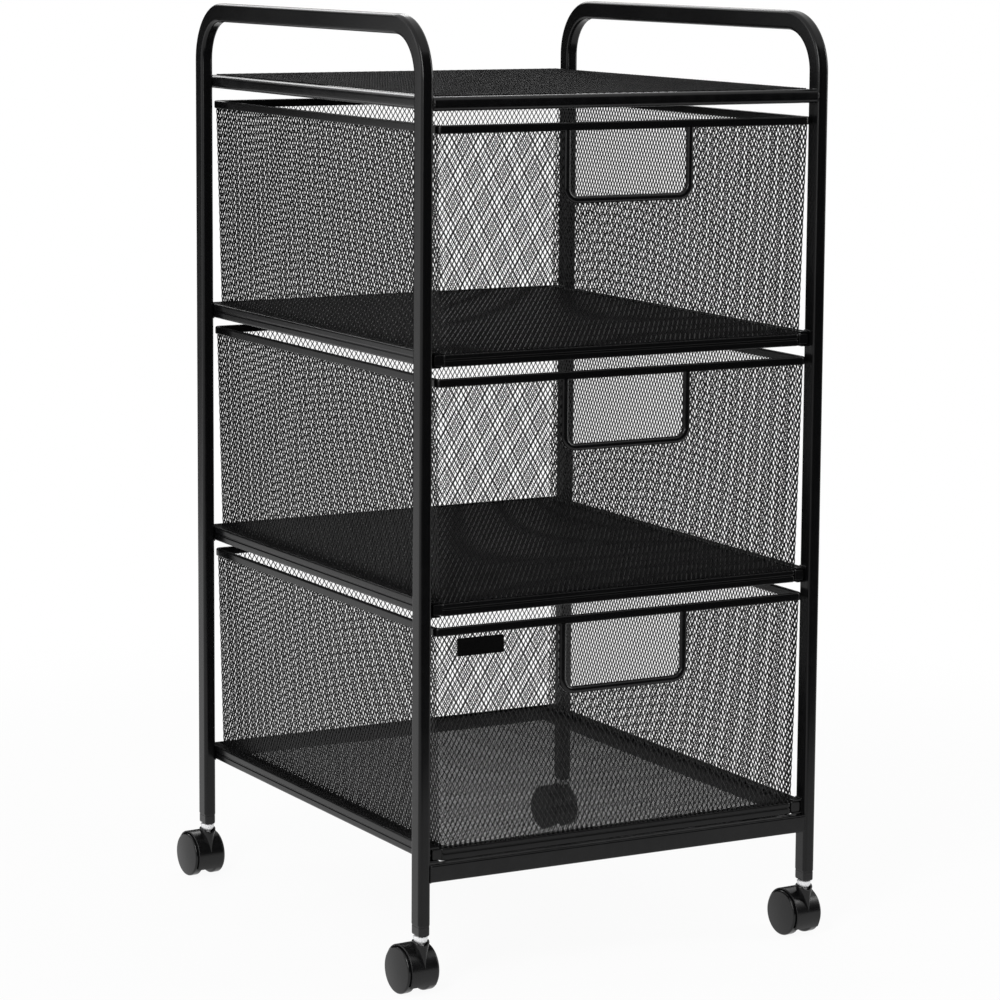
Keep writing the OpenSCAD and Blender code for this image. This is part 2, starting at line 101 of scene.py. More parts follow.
def filleted(points: Sequence[Point], radii: Point | float, steps: int = 4) -> Array:
    """Rounds the corners of a closed outline.

    Args:
        points: Corners of the outline, in order.
        radii: One radius for all corners, or one for each.
        steps: Segments of each rounded corner.

    Returns:
        The outline's points, n by 2.
    """
    corners = np.asarray(points, float)
    count = len(corners)
    sizes = np.full(count, radii, float) if np.isscalar(radii) else np.asarray(radii, float)
    out: list[Array] = []
    for i in range(count):
        here = corners[i]
        back, ahead = corners[i - 1] - here, corners[(i + 1) % count] - here
        back_l, ahead_l = np.linalg.norm(back), np.linalg.norm(ahead)
        back, ahead = back / back_l, ahead / ahead_l
        half = math.acos(max(-1.0, min(1.0, float(back @ ahead)))) / 2
        if sizes[i] <= 0 or half > math.pi / 2 - 1e-3:
            out.append(here[None])
            continue
        reach = min(sizes[i] / math.tan(half), 0.49 * back_l, 0.49 * ahead_l)
        radius = reach * math.tan(half)
        middle = here + (back + ahead) / np.linalg.norm(back + ahead) * (radius / math.sin(half))
        first, last = here + back * reach - middle, here + ahead * reach - middle
        turn = math.pi - 2 * half
        sign = math.copysign(1.0, first[0] * last[1] - first[1] * last[0])
        angles = np.linspace(0, turn, steps + 1) * sign
        cos, sin = np.cos(angles), np.sin(angles)
        arc = np.stack([first[0] * cos - first[1] * sin, first[0] * sin + first[1] * cos], 1)
        out.append(middle + arc)
    return np.concatenate(out)


def rectangle(width: float, height: float, radius: Point | float, steps: int = 4) -> Array:
    """Centred rectangle with round corners.

    Args:
        width: Size along the first axis.
        height: Size along the second axis.
        radius: Corner radius, or one for each corner from the lower left.
        steps: Segments of each corner.

    Returns:
        The outline's points, n by 2.
    """
    w, h = width / 2, height / 2
    return filleted([(-w, -h), (w, -h), (w, h), (-w, h)], radius, steps)


def circle(diameter: float, steps: int = 20) -> Array:
    """Centred circle as an outline of steps points."""
    angles = np.arange(steps) * 2 * math.pi / steps
    return np.stack([np.cos(angles), np.sin(angles)], 1) * diameter / 2


# Meshes


@dataclass
class Shape:
    """Points in millimetres and faces, gathered before they become a mesh."""

    points: list[Array] = field(default_factory=list)
    faces: list[tuple[int, ...]] = field(default_factory=list)
    count: int = 0

    def add(self, points: Array, faces: Sequence[Sequence[int]]) -> None:
        """Adds points and the faces that use them.

        Args:
            points: New points, n by 3.
            faces: Faces numbered from the first new point.
        """
        self.points.append(np.asarray(points, float))
        start = self.count
        self.faces.extend(tuple(int(i) + start for i in face) for face in faces)
        self.count += len(points)

    def rings(self, rings: Array, around: bool = False) -> None:
        """Skins a row of rings that all have the same number of points.

        Args:
            rings: m rings of n points each, m by n by 3.
            around: Whether the last ring joins the first. If not, the two ends are closed.
        """
        m, n = rings.shape[:2]
        faces: list[Sequence[int]] = []
        for i in range(m if around else m - 1):
            a, b = i * n, (i + 1) % m * n
            faces += [(a + j, a + (j + 1) % n, b + (j + 1) % n, b + j) for j in range(n)]
        if not around:
            faces.append(tuple(range(n - 1, -1, -1)))
            faces.append(tuple((m - 1) * n + j for j in range(n)))
        self.add(rings.reshape(-1, 3), faces)

    def sweep(self, section: Array | Sequence[Array], path: "Path") -> None:
        """Carries a flat outline along a path.

        Args:
            section: Outline, n by 2, or one outline for each place.
            path: Places with the directions of the outline's two axes.
        """
        outlines = np.asarray(section)
        if outlines.ndim == 2:
            outlines = np.repeat(outlines[None], len(path.places), 0)
        across, upward = outlines[:, :, :1] * path.across[:, None], outlines[:, :, 1:] * path.upward[:, None]
        self.rings(path.places[:, None] + across + upward, path.around)

    def bar(self, section: Array, start: Point, end: Point, upward: Point) -> None:
        """Straight bar between two points.

        Args:
            section: Outline whose second axis points along upward.
            start: First end of the bar's axis.
            end: Second end of the bar's axis.
            upward: Direction of the outline's second axis.
        """
        a, b, up = (np.asarray(v, float) for v in (start, end, upward))
        along = (b - a) / np.linalg.norm(b - a)
        self.sweep(section, Path.fixed([a, b], np.cross(up, along), up))

    def lathe(self, profile: Sequence[Point], steps: int = 64) -> None:
        """Turns a profile round the z axis.

        Args:
            profile: Radius and height of each point, from one end to the other.
            steps: Points of each ring.
        """
        angles = np.arange(steps) * 2 * math.pi / steps
        rz = np.asarray(profile, float)
        x, y = rz[:, :1] * np.cos(angles), rz[:, :1] * np.sin(angles)
        self.rings(np.stack([x, y, np.repeat(rz[:, 1:], steps, 1)], 2))

    def moved(self, change: Callable[[Array], Array]) -> "Shape":
        """A copy of this shape with its points passed through change."""
        made = Shape()
        made.points = [change(np.concatenate(self.points))] if self.points else []
        made.faces = list(self.faces)
        made.count = self.count
        return made

    def join(self, other: "Shape") -> None:
        """Adds a copy of another shape to this one."""
        if other.points:
            self.add(np.concatenate(other.points), other.faces)


@dataclass
class Path:
    """Places along a sweep, with the directions of the section's two axes."""

    places: Array
    across: Array
    upward: Array
    around: bool = False

    @classmethod
    def fixed(cls, places: Sequence[Point], across: Point, upward: Point) -> "Path":
        """Path whose section keeps its two directions."""
        count = len(places)
        return cls(np.asarray(places, float), np.tile(across, (count, 1)), np.tile(upward, (count, 1)))


def flat_loop(half_x: float, half_y: float, radius: float, steps: int = 8) -> Path:
    """Closed path round a rectangle with round corners, in a level plane.

    Args:
        half_x: Half of its size along x.
        half_y: Half of its size along y.
        radius: Corner radius.
        steps: Segments of each corner.

    Returns:
        The path. Its across axis points outwards and its upward axis is z.
    """
    places, outward = [], []
    for cx, cy, start in ((1, 1, 0), (-1, 1, 90), (-1, -1, 180), (1, -1, 270)):
        for angle in np.radians(start + np.linspace(0, 90, steps + 1)):
            way = np.array([math.cos(angle), math.sin(angle), 0.0])
            places.append(np.array([cx * (half_x - radius), cy * (half_y - radius), 0.0]) + radius * way)
            outward.append(way)
    return Path(np.array(places), np.array(outward), np.tile(ALONG_Z, (len(places), 1)), True)


def bent_path(corners: Sequence[Point], radius: float, side: Point, steps: int = 14) -> Path:
    """Open path through corners that are bent to one radius, in one plane.

    Args:
        corners: Ends and corners of the path, n by 3.
        radius: Bend radius.
        side: Normal of the plane that the path lies in.
        steps: Segments of each bend.

    Returns:
        The path. Its across axis lies in the plane and its upward axis is side.
    """
    pts = np.asarray(corners, float)
    normal = np.asarray(side, float)
    places, ways = [pts[0]], [pts[1] - pts[0]]
    for i in range(1, len(pts) - 1):
        back, ahead = pts[i - 1] - pts[i], pts[i + 1] - pts[i]
        back, ahead = back / np.linalg.norm(back), ahead / np.linalg.norm(ahead)
        half = math.acos(float(back @ ahead)) / 2
        reach = radius / math.tan(half)
        middle = pts[i] + (back + ahead) / np.linalg.norm(back + ahead) * radius / math.sin(half)
        first = pts[i] + back * reach - middle
        axis = np.cross(-back, ahead)
        axis /= np.linalg.norm(axis)
        for angle in np.linspace(0, math.pi - 2 * half, steps + 1):
            turn = np.array(Matrix.Rotation(angle, 3, Vector(axis)))
            places.append(middle + turn @ first)
            ways.append(turn @ -back)
    places.append(pts[-1])
    ways.append(pts[-1] - pts[-2])
    along = np.array([w / np.linalg.norm(w) for w in ways])
    across = np.cross(normal, along)
    return Path(np.array(places), across, np.tile(normal, (len(places), 1)))


# Finishes


class Wiring:
    """Adds nodes to a tree, sets their values and joins them."""

    def __init__(self, tree: Tree) -> None:
        """Takes the tree as it is."""
        self.tree = tree

    @classmethod
    def emptied(cls, owner: bpy.types.Material | bpy.types.World) -> "Wiring":
        """Wiring of a material's or world's own tree, with its first nodes removed."""
        owner.use_nodes = True
        owner.node_tree.nodes.clear()
        return cls(owner.node_tree)

    def feed(self, node: Node, inputs: Feeds) -> None:
        """Sets inputs of a node, or joins them to the sockets that feed them.

        Args:
            node: The node.
            inputs: Value or source of each input, by its place or name.
        """
        for key, value in inputs.items():
            if isinstance(value, Socket):
                self.tree.links.new(value, node.inputs[key])
            else:
                node.inputs[key].default_value = (*value, 1.0) if isinstance(value, tuple) else value

    def add(self, kind: str, inputs: Optional[Feeds] = None, **settings: Any) -> Node:
        """Adds a node.

        Args:
            kind: Its type, without the words that all shader nodes share.
            inputs: Value or source of each input.
            **settings: The node's own settings, set first.

        Returns:
            The node.
        """
        node = self.tree.nodes.new(f"ShaderNode{kind}")
        for name, value in settings.items():
            setattr(node, name, value)
        self.feed(node, inputs or {})
        return node

    def sum(self, operation: str, first: float | Socket, second: float | Socket) -> Socket:
        """Result of one sum with two values."""
        return self.add("Math", {0: first, 1: second}, operation=operation).outputs[0]

    def spread(self, value: Socket, low: float, high: float, **to: Socket) -> Socket:
        """Maps low and high to 0 and 1, or to what the named inputs say."""
        inputs = {"Value": value, "From Min": low, "From Max": high}
        inputs.update({key.replace("_", " "): end for key, end in to.items()})
        return self.add("MapRange", inputs).outputs["Result"]

    def noise(self, size: Socket, detail: float, rough: float) -> Socket:
        """Noise in object coordinates, with features as large as size."""
        where, scale = self.add("TexCoord").outputs["Object"], self.sum("DIVIDE", 1.0, size)
        return self.add(
            "TexNoise", {"Vector": where, "Scale": scale, "Detail": detail, "Roughness": rough}
        ).outputs["Fac"]

    def mix(self, share: Socket, first: Socket, second: Socket) -> Socket:
        """Colour that goes from the first to the second."""
        return self.add("Mix", {0: share, 6: first, 7: second}, data_type="RGBA").outputs[2]

    def end(self, kind: str, share: Socket, first: Node, second: Node) -> None:
        """Ends a tree in a mix of two shaders.

        Args:
            kind: Type of the output node.
            share: Share of the second shader.
            first: First shader.
            second: Second shader.
        """
        mix = self.add("MixShader", {0: share, 1: first.outputs[0], 2: second.outputs[0]})
        self.add(kind, {"Surface": mix.outputs[0]})


class Effects:
    """Shader node groups that more than one finish uses."""

    def __init__(self) -> None:
        """Builds each group once."""
        self.grain = self._grain()
        self.handling = self._handling()
        self.edge_rub = self._edge_rub()
        self.settled_dust = self._settled_dust()

    @staticmethod
    def _begin(name: str, **inputs: float | Colour) -> tuple[Wiring, Any]:
        """Starts a group.

        Args:
            name: Name of the group.
            **inputs: First value of each input.

        Returns:
            The group's wiring and the sockets that bring in its inputs.
        """
        tree = bpy.data.node_groups.new(name, "ShaderNodeTree")
        for key, value in inputs.items():
            kind = "NodeSocketFloat" if isinstance(value, float) else "NodeSocketColor"
            made = tree.interface.new_socket(name=key, in_out="INPUT", socket_type=kind)
            made.default_value = value if isinstance(value, float) else (*value, 1.0)
        return Wiring(tree), tree.nodes.new("NodeGroupInput").outputs

    @staticmethod
    def _close(wires: Wiring, **outputs: Socket) -> Tree:
        """Gives a group its outputs.

        Args:
            wires: The group's wiring.
            **outputs: The socket that feeds each output.

        Returns:
            The group.
        """
        for key, source in outputs.items():
            kind = "NodeSocketColor" if source.type == "RGBA" else "NodeSocketFloat"
            wires.tree.interface.new_socket(name=key, in_out="OUTPUT", socket_type=kind)
        wires.feed(wires.tree.nodes.new("NodeGroupOutput"), outputs)
        return wires.tree

    def _grain(self) -> Tree:
        """Fine surface grain: a height for bump, and a colour that varies with it."""
        wires, given = self._begin(
            "surface_grain", Size=0.001, Dark=(0.01, 0.01, 0.01), Light=(0.02, 0.02, 0.02)
        )
        noise = wires.noise(given["Size"], 3.0, 0.55)
        where, scale = wires.add("TexCoord").outputs["Object"], wires.sum("DIVIDE", 1.0, given["Size"])
        fine = wires.add("TexVoronoi", {"Vector": where, "Scale": scale}, feature="SMOOTH_F1")
        height = wires.add("Mix", {0: 0.4, 2: noise, 3: fine.outputs["Distance"]})
        colour = wires.mix(noise, given["Dark"], given["Light"])
        return self._close(wires, Height=height.outputs[0], Color=colour)

    def _handling(self) -> Tree:
        """Broad soft patches that change the gloss, as hands and packing leave them."""
        wires, given = self._begin("handling_gloss", Size=0.08, Low=0.3, High=0.4)
        noise = wires.noise(given["Size"], 4.0, 0.6)
        gloss = wires.spread(noise, 0.3, 0.7, To_Min=given["Low"], To_Max=given["High"])
        return self._close(wires, Roughness=gloss)

    def _edge_rub(self) -> Tree:
        """Outer edges rubbed a little lighter, broken up by noise."""
        wires, given = self._begin(
            "edge_rub", Size=0.01, Amount=0.3, Color=(0.02, 0.02, 0.02), Rubbed=(0.06, 0.06, 0.06)
        )
        patch = wires.spread(wires.noise(given["Size"], 5.0, 0.65), 0.45, 0.7)
        edge = wires.spread(wires.add("NewGeometry").outputs["Pointiness"], 0.53, 0.6)
        share = wires.sum("MULTIPLY", wires.sum("MULTIPLY", edge, patch), given["Amount"])
        return self._close(wires, Color=wires.mix(share, given["Color"], given["Rubbed"]))

    def _settled_dust(self) -> Tree:
        """A trace of dust on faces that look up."""
        wires, given = self._begin(
            "settled_dust", Size=0.03, Amount=0.1, Color=(0.02, 0.02, 0.02), Dust=(0.25, 0.24, 0.22)
        )
        noise = wires.noise(given["Size"], 6.0, 0.6)
        parts = wires.add("SeparateXYZ", {0: wires.add("NewGeometry").outputs["Normal"]})
        facing = wires.spread(parts.outputs["Z"], 0.5, 1.0)
        share = wires.sum("MULTIPLY", wires.sum("MULTIPLY", facing, noise), given["Amount"])
        return self._close(wires, Color=wires.mix(share, given["Color"], given["Dust"]))


@dataclass(frozen=True)
class Finish:
    """One surface finish, made of the shared effects and a Principled shader."""

    name: str
    slot: Slot
    dark: Colour
    light: Colour
    gloss: tuple[float, float]
    grain_size: float
    grain_depth: float
    grain_strength: float
    metallic: float = 0.0
    specular: float = 0.5
    rubbed: Colour = (0.05, 0.05, 0.05)
    rub: float = 0.0
    dust: float = 0.0
    gloss_size: float = 0.08

    def material(self, effects: Effects) -> bpy.types.Material:
        """Builds the material.

        Args:
            effects: The shared node groups.

        Returns:
            The finished material.
        """
        made = bpy.data.materials.new(self.name)
        made.use_nodes = True
        wires = Wiring(made.node_tree)
        grain = wires.add("Group", {"Size": self.grain_size, "Dark": self.dark, "Light": self.light},
                          node_tree=effects.grain)
        colour = grain.outputs["Color"]
        if self.rub > 0:
            rubbed = {"Amount": self.rub, "Rubbed": self.rubbed, "Color": colour}
            colour = wires.add("Group", rubbed, node_tree=effects.edge_rub).outputs["Color"]
        if self.dust > 0:
            dusty = {"Amount": self.dust, "Color": colour}
            colour = wires.add("Group", dusty, node_tree=effects.settled_dust).outputs["Color"]
        gloss = wires.add("Group", {"Size": self.gloss_size, "Low": self.gloss[0], "High": self.gloss[1]},
                          node_tree=effects.handling)
        bump = wires.add("Bump", {"Strength": self.grain_strength, "Distance": self.grain_depth,
                                  "Height": grain.outputs["Height"]})
        wires.feed(made.node_tree.nodes["Principled BSDF"], {
            "Base Color": colour, "Metallic": self.metallic, "Roughness": gloss.outputs["Roughness"],
            "Specular IOR Level": self.specular, "Normal": bump.outputs["Normal"],
        })
        return made


POWDER_COAT = Finish(
    "black_powder_coat", Slot.POWDER_COAT, (0.0028, 0.0028, 0.003), (0.0046, 0.0046, 0.0049), (0.18, 0.24),
    0.0011, 0.00004, 0.22, specular=0.24, rubbed=(0.016, 0.016, 0.017), rub=0.3, dust=0.008,
)
MESH_COAT = Finish(
    "black_mesh_coat", Slot.STEEL_MESH, (0.0035, 0.0035, 0.0038), (0.0058, 0.0058, 0.0062), (0.3, 0.4),
    0.0014, 0.00004, 0.3, specular=0.24,
)
SHELF_COAT = Finish(
    "dull_shelf_coat", Slot.STEEL_MESH, (0.0035, 0.0035, 0.0038), (0.0058, 0.0058, 0.0062), (0.52, 0.62),
    0.0014, 0.00004, 0.3, specular=0.1,
)
CASTER_PLASTIC = Finish(
    "moulded_black_plastic", Slot.CASTER, (0.0045, 0.0045, 0.0048), (0.0068, 0.0068, 0.0072), (0.2, 0.29),
    0.0006, 0.00004, 0.35, specular=0.3, rub=0.25, rubbed=(0.02, 0.02, 0.02), gloss_size=0.02,
)
WHEEL_PLASTIC = Finish(
    "glossy_wheel_plastic", Slot.WHEEL, (0.004, 0.004, 0.0043), (0.006, 0.006, 0.0064), (0.12, 0.18),
    0.0009, 0.00002, 0.25, specular=0.3, gloss_size=0.02,
)
BADGE_PLASTIC = Finish(
    "badge_gloss", Slot.BADGE, (0.003, 0.003, 0.003), (0.0045, 0.0045, 0.0045), (0.1, 0.17),
    0.001, 0.00002, 0.2, specular=0.3, gloss_size=0.01,
)
# Zinc plate: its pale colour is partly the plating's own bright tone and partly painted reflection. The
# share that is not metallic shows as diffuse white, standing in for the white that the bright stem reflects.
ZINC_PLATE_PAINTED_REFLECTION = Finish(
    "bright_zinc_plate", Slot.ZINC, (0.86, 0.87, 0.88), (0.93, 0.93, 0.94), (0.3, 0.42),
    0.0008, 0.00003, 0.3, metallic=0.4, rubbed=(0.95, 0.95, 0.95), rub=0.4, gloss_size=0.006,
)
FINISHES = (POWDER_COAT, MESH_COAT, SHELF_COAT, CASTER_PLASTIC, WHEEL_PLASTIC, BADGE_PLASTIC, ZINC_PLATE_PAINTED_REFLECTION)


# Bench


@dataclass
class Bench:
    """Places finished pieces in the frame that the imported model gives."""

    mid_x: float
    mid_y: float
    materials: dict[str, bpy.types.Material]

    @classmethod
    def from_frame(cls) -> "Bench":
        """Reads where the middle of the cart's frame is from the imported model.

        Returns:
            The bench with its finishes made.
        """
        low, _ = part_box("left_side_frame")
        _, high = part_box("right_side_frame")
        effects = Effects()
        made = {f.name: f.material(effects) for f in FINISHES}
        return cls((low.x + high.x) / 2 / MM, (low.y + high.y) / 2 / MM, made)

    def place(
        self,
        name: str,
        shape: Shape,
        finish: Finish,
        body: str,
        nodes: Sequence[str] = (),
        smooth: Optional[float] = 34.0,
        change: Optional[Callable[[bmesh.types.BMesh], None]] = None,
    ) -> bpy.types.Object:
        """Makes a piece, dresses it and sets it in the frame.

        Args:
            name: Name of the piece.
            shape: Its shape, about the middle of the cart's frame.
            finish: Its finish.
            body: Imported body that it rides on.
            nodes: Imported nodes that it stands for.
            smooth: Angle above which an edge stays sharp, or None for flat faces.
            change: Last change to its mesh, in millimetres.

        Returns:
            The piece.
        """
        mesh = bpy.data.meshes.new(name)
        points = np.concatenate(shape.points)
        mesh.from_pydata(points.tolist(), [], shape.faces)
        work = bmesh.new()
        work.from_mesh(mesh)
        if change:
            change(work)
        if smooth is not None:
            bmesh.ops.recalc_face_normals(work, faces=work.faces)
            for face in work.faces:
                face.smooth = True
            for edge in work.edges:
                edge.smooth = len(edge.link_faces) == 2 and edge.calc_face_angle(0.0) < math.radians(smooth)
        into_frame = Matrix.Scale(MM, 4) @ Matrix.Translation((self.mid_x, self.mid_y, 0.0))
        bmesh.ops.transform(work, matrix=into_frame, verts=work.verts)
        work.to_mesh(mesh)
        work.free()
        mesh.materials.append(self.materials[finish.name])
        piece = bpy.data.objects.new(name, mesh)
        bpy.context.scene.collection.objects.link(piece)
        if smooth is not None:
            weigh = piece.modifiers.new("even_flats", "WEIGHTED_NORMAL")
            weigh.keep_sharp = True
            weigh.weight = 90
        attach(piece, body)
        if nodes:
            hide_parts(*nodes)
        log.info("%s: %d faces on %s", name, len(mesh.polygons), body)
        return piece

    def dress(self, node: str, finish: Finish) -> None:
        """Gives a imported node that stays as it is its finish.

        Args:
            node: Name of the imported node.
            finish: Its finish.
        """
        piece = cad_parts[node]
        piece.data.materials.clear()
        piece.data.materials.append(self.materials[finish.name])
        log.info("%s: kept from the frame", node)


# Sub-assemblies


@dataclass
class WeldBead:
    """Rippled bead where a bar or rail is welded to a leg."""

    size: float = 0.8
    ripple: float = 1.7
    step: float = 0.45
    sink: float = 0.3

    def _radii(self, along: Array) -> Array:
        """Half thickness of the bead at each distance along it."""
        return self.size * (0.76 + 0.24 * np.abs(np.cos(along * math.pi / self.ripple)))

    def around(self, shape: Shape, outline: Array, middle: Point) -> None:
        """Runs round the end of a bar that lies along x.

        Args:
            shape: Shape to add to.
            outline: Section of the bar in y and z, turning left.
            middle: Middle of the bar's end.
        """
        closed = np.concatenate([outline, outline[:1]])
        reach = np.concatenate([[0.0], np.cumsum(np.linalg.norm(np.diff(closed, axis=0), axis=1))])
        count = max(12, round(reach[-1] / self.step))
        along = np.arange(count) * reach[-1] / count
        rim = np.stack([np.zeros(count), *(np.interp(along, reach, closed[:, i]) for i in (0, 1))], 1)
        way = np.roll(rim, -1, 0) - np.roll(rim, 1, 0)
        way /= np.linalg.norm(way, axis=1, keepdims=True)
        out = np.stack([np.zeros(count), way[:, 2], -way[:, 1]], 1)
        places = np.asarray(middle, float) + rim - out * self.sink
        sections = circle(2.0, 10)[None] * self._radii(along)[:, None, None]
        shape.sweep(sections, Path(places, out, np.tile(ALONG_X, (count, 1)), True))

    def straight(self, shape: Shape, start: Point, end: Point) -> None:
        """Runs along y from start to end.

        Args:
            shape: Shape to add to.
            start: First end.
            end: Second end.
        """
        a, b = np.asarray(start, float), np.asarray(end, float)
        length = float(np.linalg.norm(b - a))
        along = np.linspace(0.0, length, max(6, round(length / self.step)))
        ease = np.sqrt(np.clip(np.minimum(along, length - along) / self.size, 0.04, 1.0))
        places = a + along[:, None] / length * (b - a)
        sections = circle(2.0, 10)[None] * (self._radii(along) * ease)[:, None, None]
        shape.sweep(sections, Path.fixed(places, ALONG_X, ALONG_Z))


def welded_bar(
    bench: Bench, node: str, section: Array, half_x: float, y: float, z: float, bead: float = 0.8
) -> None:
    """Makes a bar across the frame and the weld beads round its ends.

    Args:
        bench: The bench.
        node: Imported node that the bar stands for.
        section: Outline of the bar.
        half_x: Half of its length.
        y: Place of its axis, front to back.
        z: Height of its axis.
        bead: Size of the beads.
    """
    shape, beads = Shape(), Shape()
    shape.bar(section, (-half_x, y, z), (half_x, y, z), ALONG_Z)
    for side in Side:
        WeldBead(bead).around(beads, section, (side.value * half_x, y, z))
    bench.place(f"{node}_tube", shape, POWDER_COAT, "frame", [node])
    bench.place(f"{node}_welds", beads, POWDER_COAT, "frame")


@dataclass
class SideFrame:
    """One bent tube: front leg, push handle over the top, back leg."""

    side: Side
    out_x: float = 168.0
    thin: float = 9.5
    wide: float = 14.0
    corner: float = 2.7
    half_depth: float = 189.5
    foot: float = 52.0
    top: float = 694.0
    bend: float = 44.0

    def build(self, bench: Bench) -> None:
        """Makes the tube as one sweep with smooth bends."""
        x = self.side.value * (self.out_x - self.thin / 2)
        y = self.half_depth - self.wide / 2
        z = self.top - self.wide / 2
        corners = [(x, -y, self.foot), (x, -y, z), (x, y, z), (x, y, self.foot)]
        path = bent_path(corners, self.bend - self.wide / 2, ALONG_X, 20)
        shape = Shape()
        shape.sweep(rectangle(self.wide, self.thin, self.corner, 8), path)
        name = f"{self.side.name.lower()}_side_frame"
        bench.place(f"{name}_tube", shape, POWDER_COAT, "frame", [name])


@dataclass
class Shelf:
    """Four bars between the side frames with expanded mesh on them."""

    half_x: float = 158.5
    half_y: float = 189.5
    thin: float = 9.5
    low: float = 628.0
    height: float = 10.0
    corner: float = 3.8
    mesh_side_inset: float = 6.5
    mesh_end_inset: float = 6.0
    mesh_thick: float = 0.8
    strand: float = 0.5

    def build(self, bench: Bench) -> None:
        """Makes the bars and the mesh."""
        y, z = self.half_y - self.thin / 2, self.low + self.height / 2
        section = rectangle(self.thin, self.height, self.corner, 8)
        for name, end in (("shelf_front_bar", End.FRONT), ("shelf_rear_bar", End.BACK)):
            welded_bar(bench, name, section, self.half_x, end.value * y, z)
        reach = self.half_y - self.thin
        for side in Side:
            x = side.value * (self.half_x - self.thin / 2)
            shape = Shape()
            shape.bar(section, (x, -reach, z), (x, reach, z), ALONG_Z)
            name = f"shelf_{side.name.lower()}_bar"
            bench.place(f"{name}_tube", shape, POWDER_COAT, "frame", [name])
        net = ExpandedMesh(strand=self.strand)
        half_x, half_y = self.half_x - self.mesh_side_inset, self.half_y - self.mesh_end_inset
        level = self.low + self.height + self.mesh_thick / 2

        def surface(u: Array, v: Array, d: Array) -> Array:
            """Long diamonds lie across the cart."""
            return np.stack([v, u, level + d], 1)

        shape = net.panel((-half_y, half_y), (-half_x, half_x), surface)
        bench.place("shelf_expanded_mesh", shape, SHELF_COAT, "frame", ["shelf_mesh"], smooth=None)


@dataclass
class ExpandedMesh:
    """Diamond mesh of zigzag strands that meet at their bends."""

    pitch_u: float = 4.2
    pitch_v: float = 6.5
    strand: float = 0.46
    thick: float = 0.68
    weave: float = 0.05
    node_gap: float = 0.3

    def strands(self, u_ends: Point, v_ends: Point, last: bool) -> list[Array]:
        """Centre lines of the strands on a flat sheet.

        Args:
            u_ends: Left and right edge of the sheet.
            v_ends: Lower and upper edge of the sheet.
            last: Whether the strand on the right edge is included.

        Returns:
            One array for each strand, with u, v and depth of each bend.
        """
        (u_low, u_high), (v_low, v_high) = u_ends, v_ends
        count = 2 * max(1, round((u_high - u_low) / self.pitch_u))
        rows = max(2, round((v_high - v_low) / (self.pitch_v / 2)))
        gap = (u_high - u_low) / count
        v = np.linspace(v_low, v_high, rows + 1)
        lines = []
        for k in range(count + (1 if last else 0)):
            swing = np.where((np.arange(rows + 1) + k) % 2 == 0, 1.0, -1.0)
            u = u_low + k * gap + swing * (gap - self.node_gap) / 2
            if last:
                u = np.clip(u, u_low, u_high)
            lines.append(np.stack([u, v, swing * self.weave], 1))
        return lines

    def ribbon(self, line: Array, surface: Surface, shape: Shape) -> None:
        """Adds one strand as a closed flat strip.

        Args:
            line: u, v and depth of each point of its centre line.
            surface: Maps u, v and depth to a place in space.
            shape: Shape to add to.
        """
        flat = line[:, :2]
        way = np.diff(flat, axis=0)
        way /= np.linalg.norm(way, axis=1, keepdims=True)
        left = np.stack([-way[:, 1], way[:, 0]], 1)
        mitre = np.concatenate([left[:1], (left[:-1] + left[1:]) / 2, left[-1:]])
        mitre /= (mitre**2).sum(1, keepdims=True)
        reach = mitre * self.strand / 2
        rings = []
        for sign, depth in ((1, 1), (-1, 1), (-1, -1), (1, -1)):
            at = flat + sign * reach
            rings.append(surface(at[:, 0], at[:, 1], line[:, 2] + depth * self.thick / 2))
        shape.rings(np.stack(rings, 1))

    def panel(
        self, u_ends: Point, v_ends: Point, surface: Surface, last: bool = True, hole: Optional[Edge] = None
    ) -> Shape:
        """Makes a sheet of mesh.

        Args:
            u_ends: Left and right edge.
            v_ends: Lower and upper edge.
            surface: Maps u, v and depth to a place in space.
            last: Whether the strand on the right edge is included.
            hole: Signed distance to a hole's edge, negative inside it.

        Returns:
            The sheet.
        """
        shape = Shape()
        for line in self.strands(u_ends, v_ends, last):
            for part in self._outside(line, hole) if hole else [line]:
                if len(part) > 1:
                    self.ribbon(part, surface, shape)
        return shape

    @staticmethod
    def _outside(line: Array, hole: Edge) -> list[Array]:
        """Parts of a strand that lie outside a hole.

        Args:
            line: The strand's centre line.
            hole: Signed distance to the hole's edge, negative inside it.

        Returns:
            The parts, each cut at the hole's edge.
        """
        away = hole(line)
        parts: list[list[Array]] = [[]]
        for i in range(len(line)):
            if away[i] >= 0:
                parts[-1].append(line[i])
            if i + 1 < len(line) and (away[i] >= 0) != (away[i + 1] >= 0):
                low, high = 0.0, 1.0
                for _ in range(20):
                    mid = (low + high) / 2
                    same = (hole((line[i] + mid * (line[i + 1] - line[i]))[None])[0] >= 0) == (away[i] >= 0)
                    low, high = (mid, high) if same else (low, mid)
                parts[-1].append(line[i] + low * (line[i + 1] - line[i]))
                if away[i] >= 0:
                    parts.append([])
        return [np.array(p) for p in parts if len(p) > 1]


@dataclass
class CrossRail:
    """Tube across the front, under the bottom drawer."""

    half_x: float = 158.5
    half_y: float = 189.5
    thin: float = 9.5
    low: float = 82.5
    height: float = 13.0
    corner: float = 1.5
    bead: float = 0.7

    def build(self, bench: Bench) -> None:
        """Makes the tube."""
        y, z = -self.half_y + self.thin / 2, self.low + self.height / 2
        section = rectangle(self.thin, self.height, self.corner, 5)
        welded_bar(bench, "bottom_front_rail", section, self.half_x, y, z, self.bead)


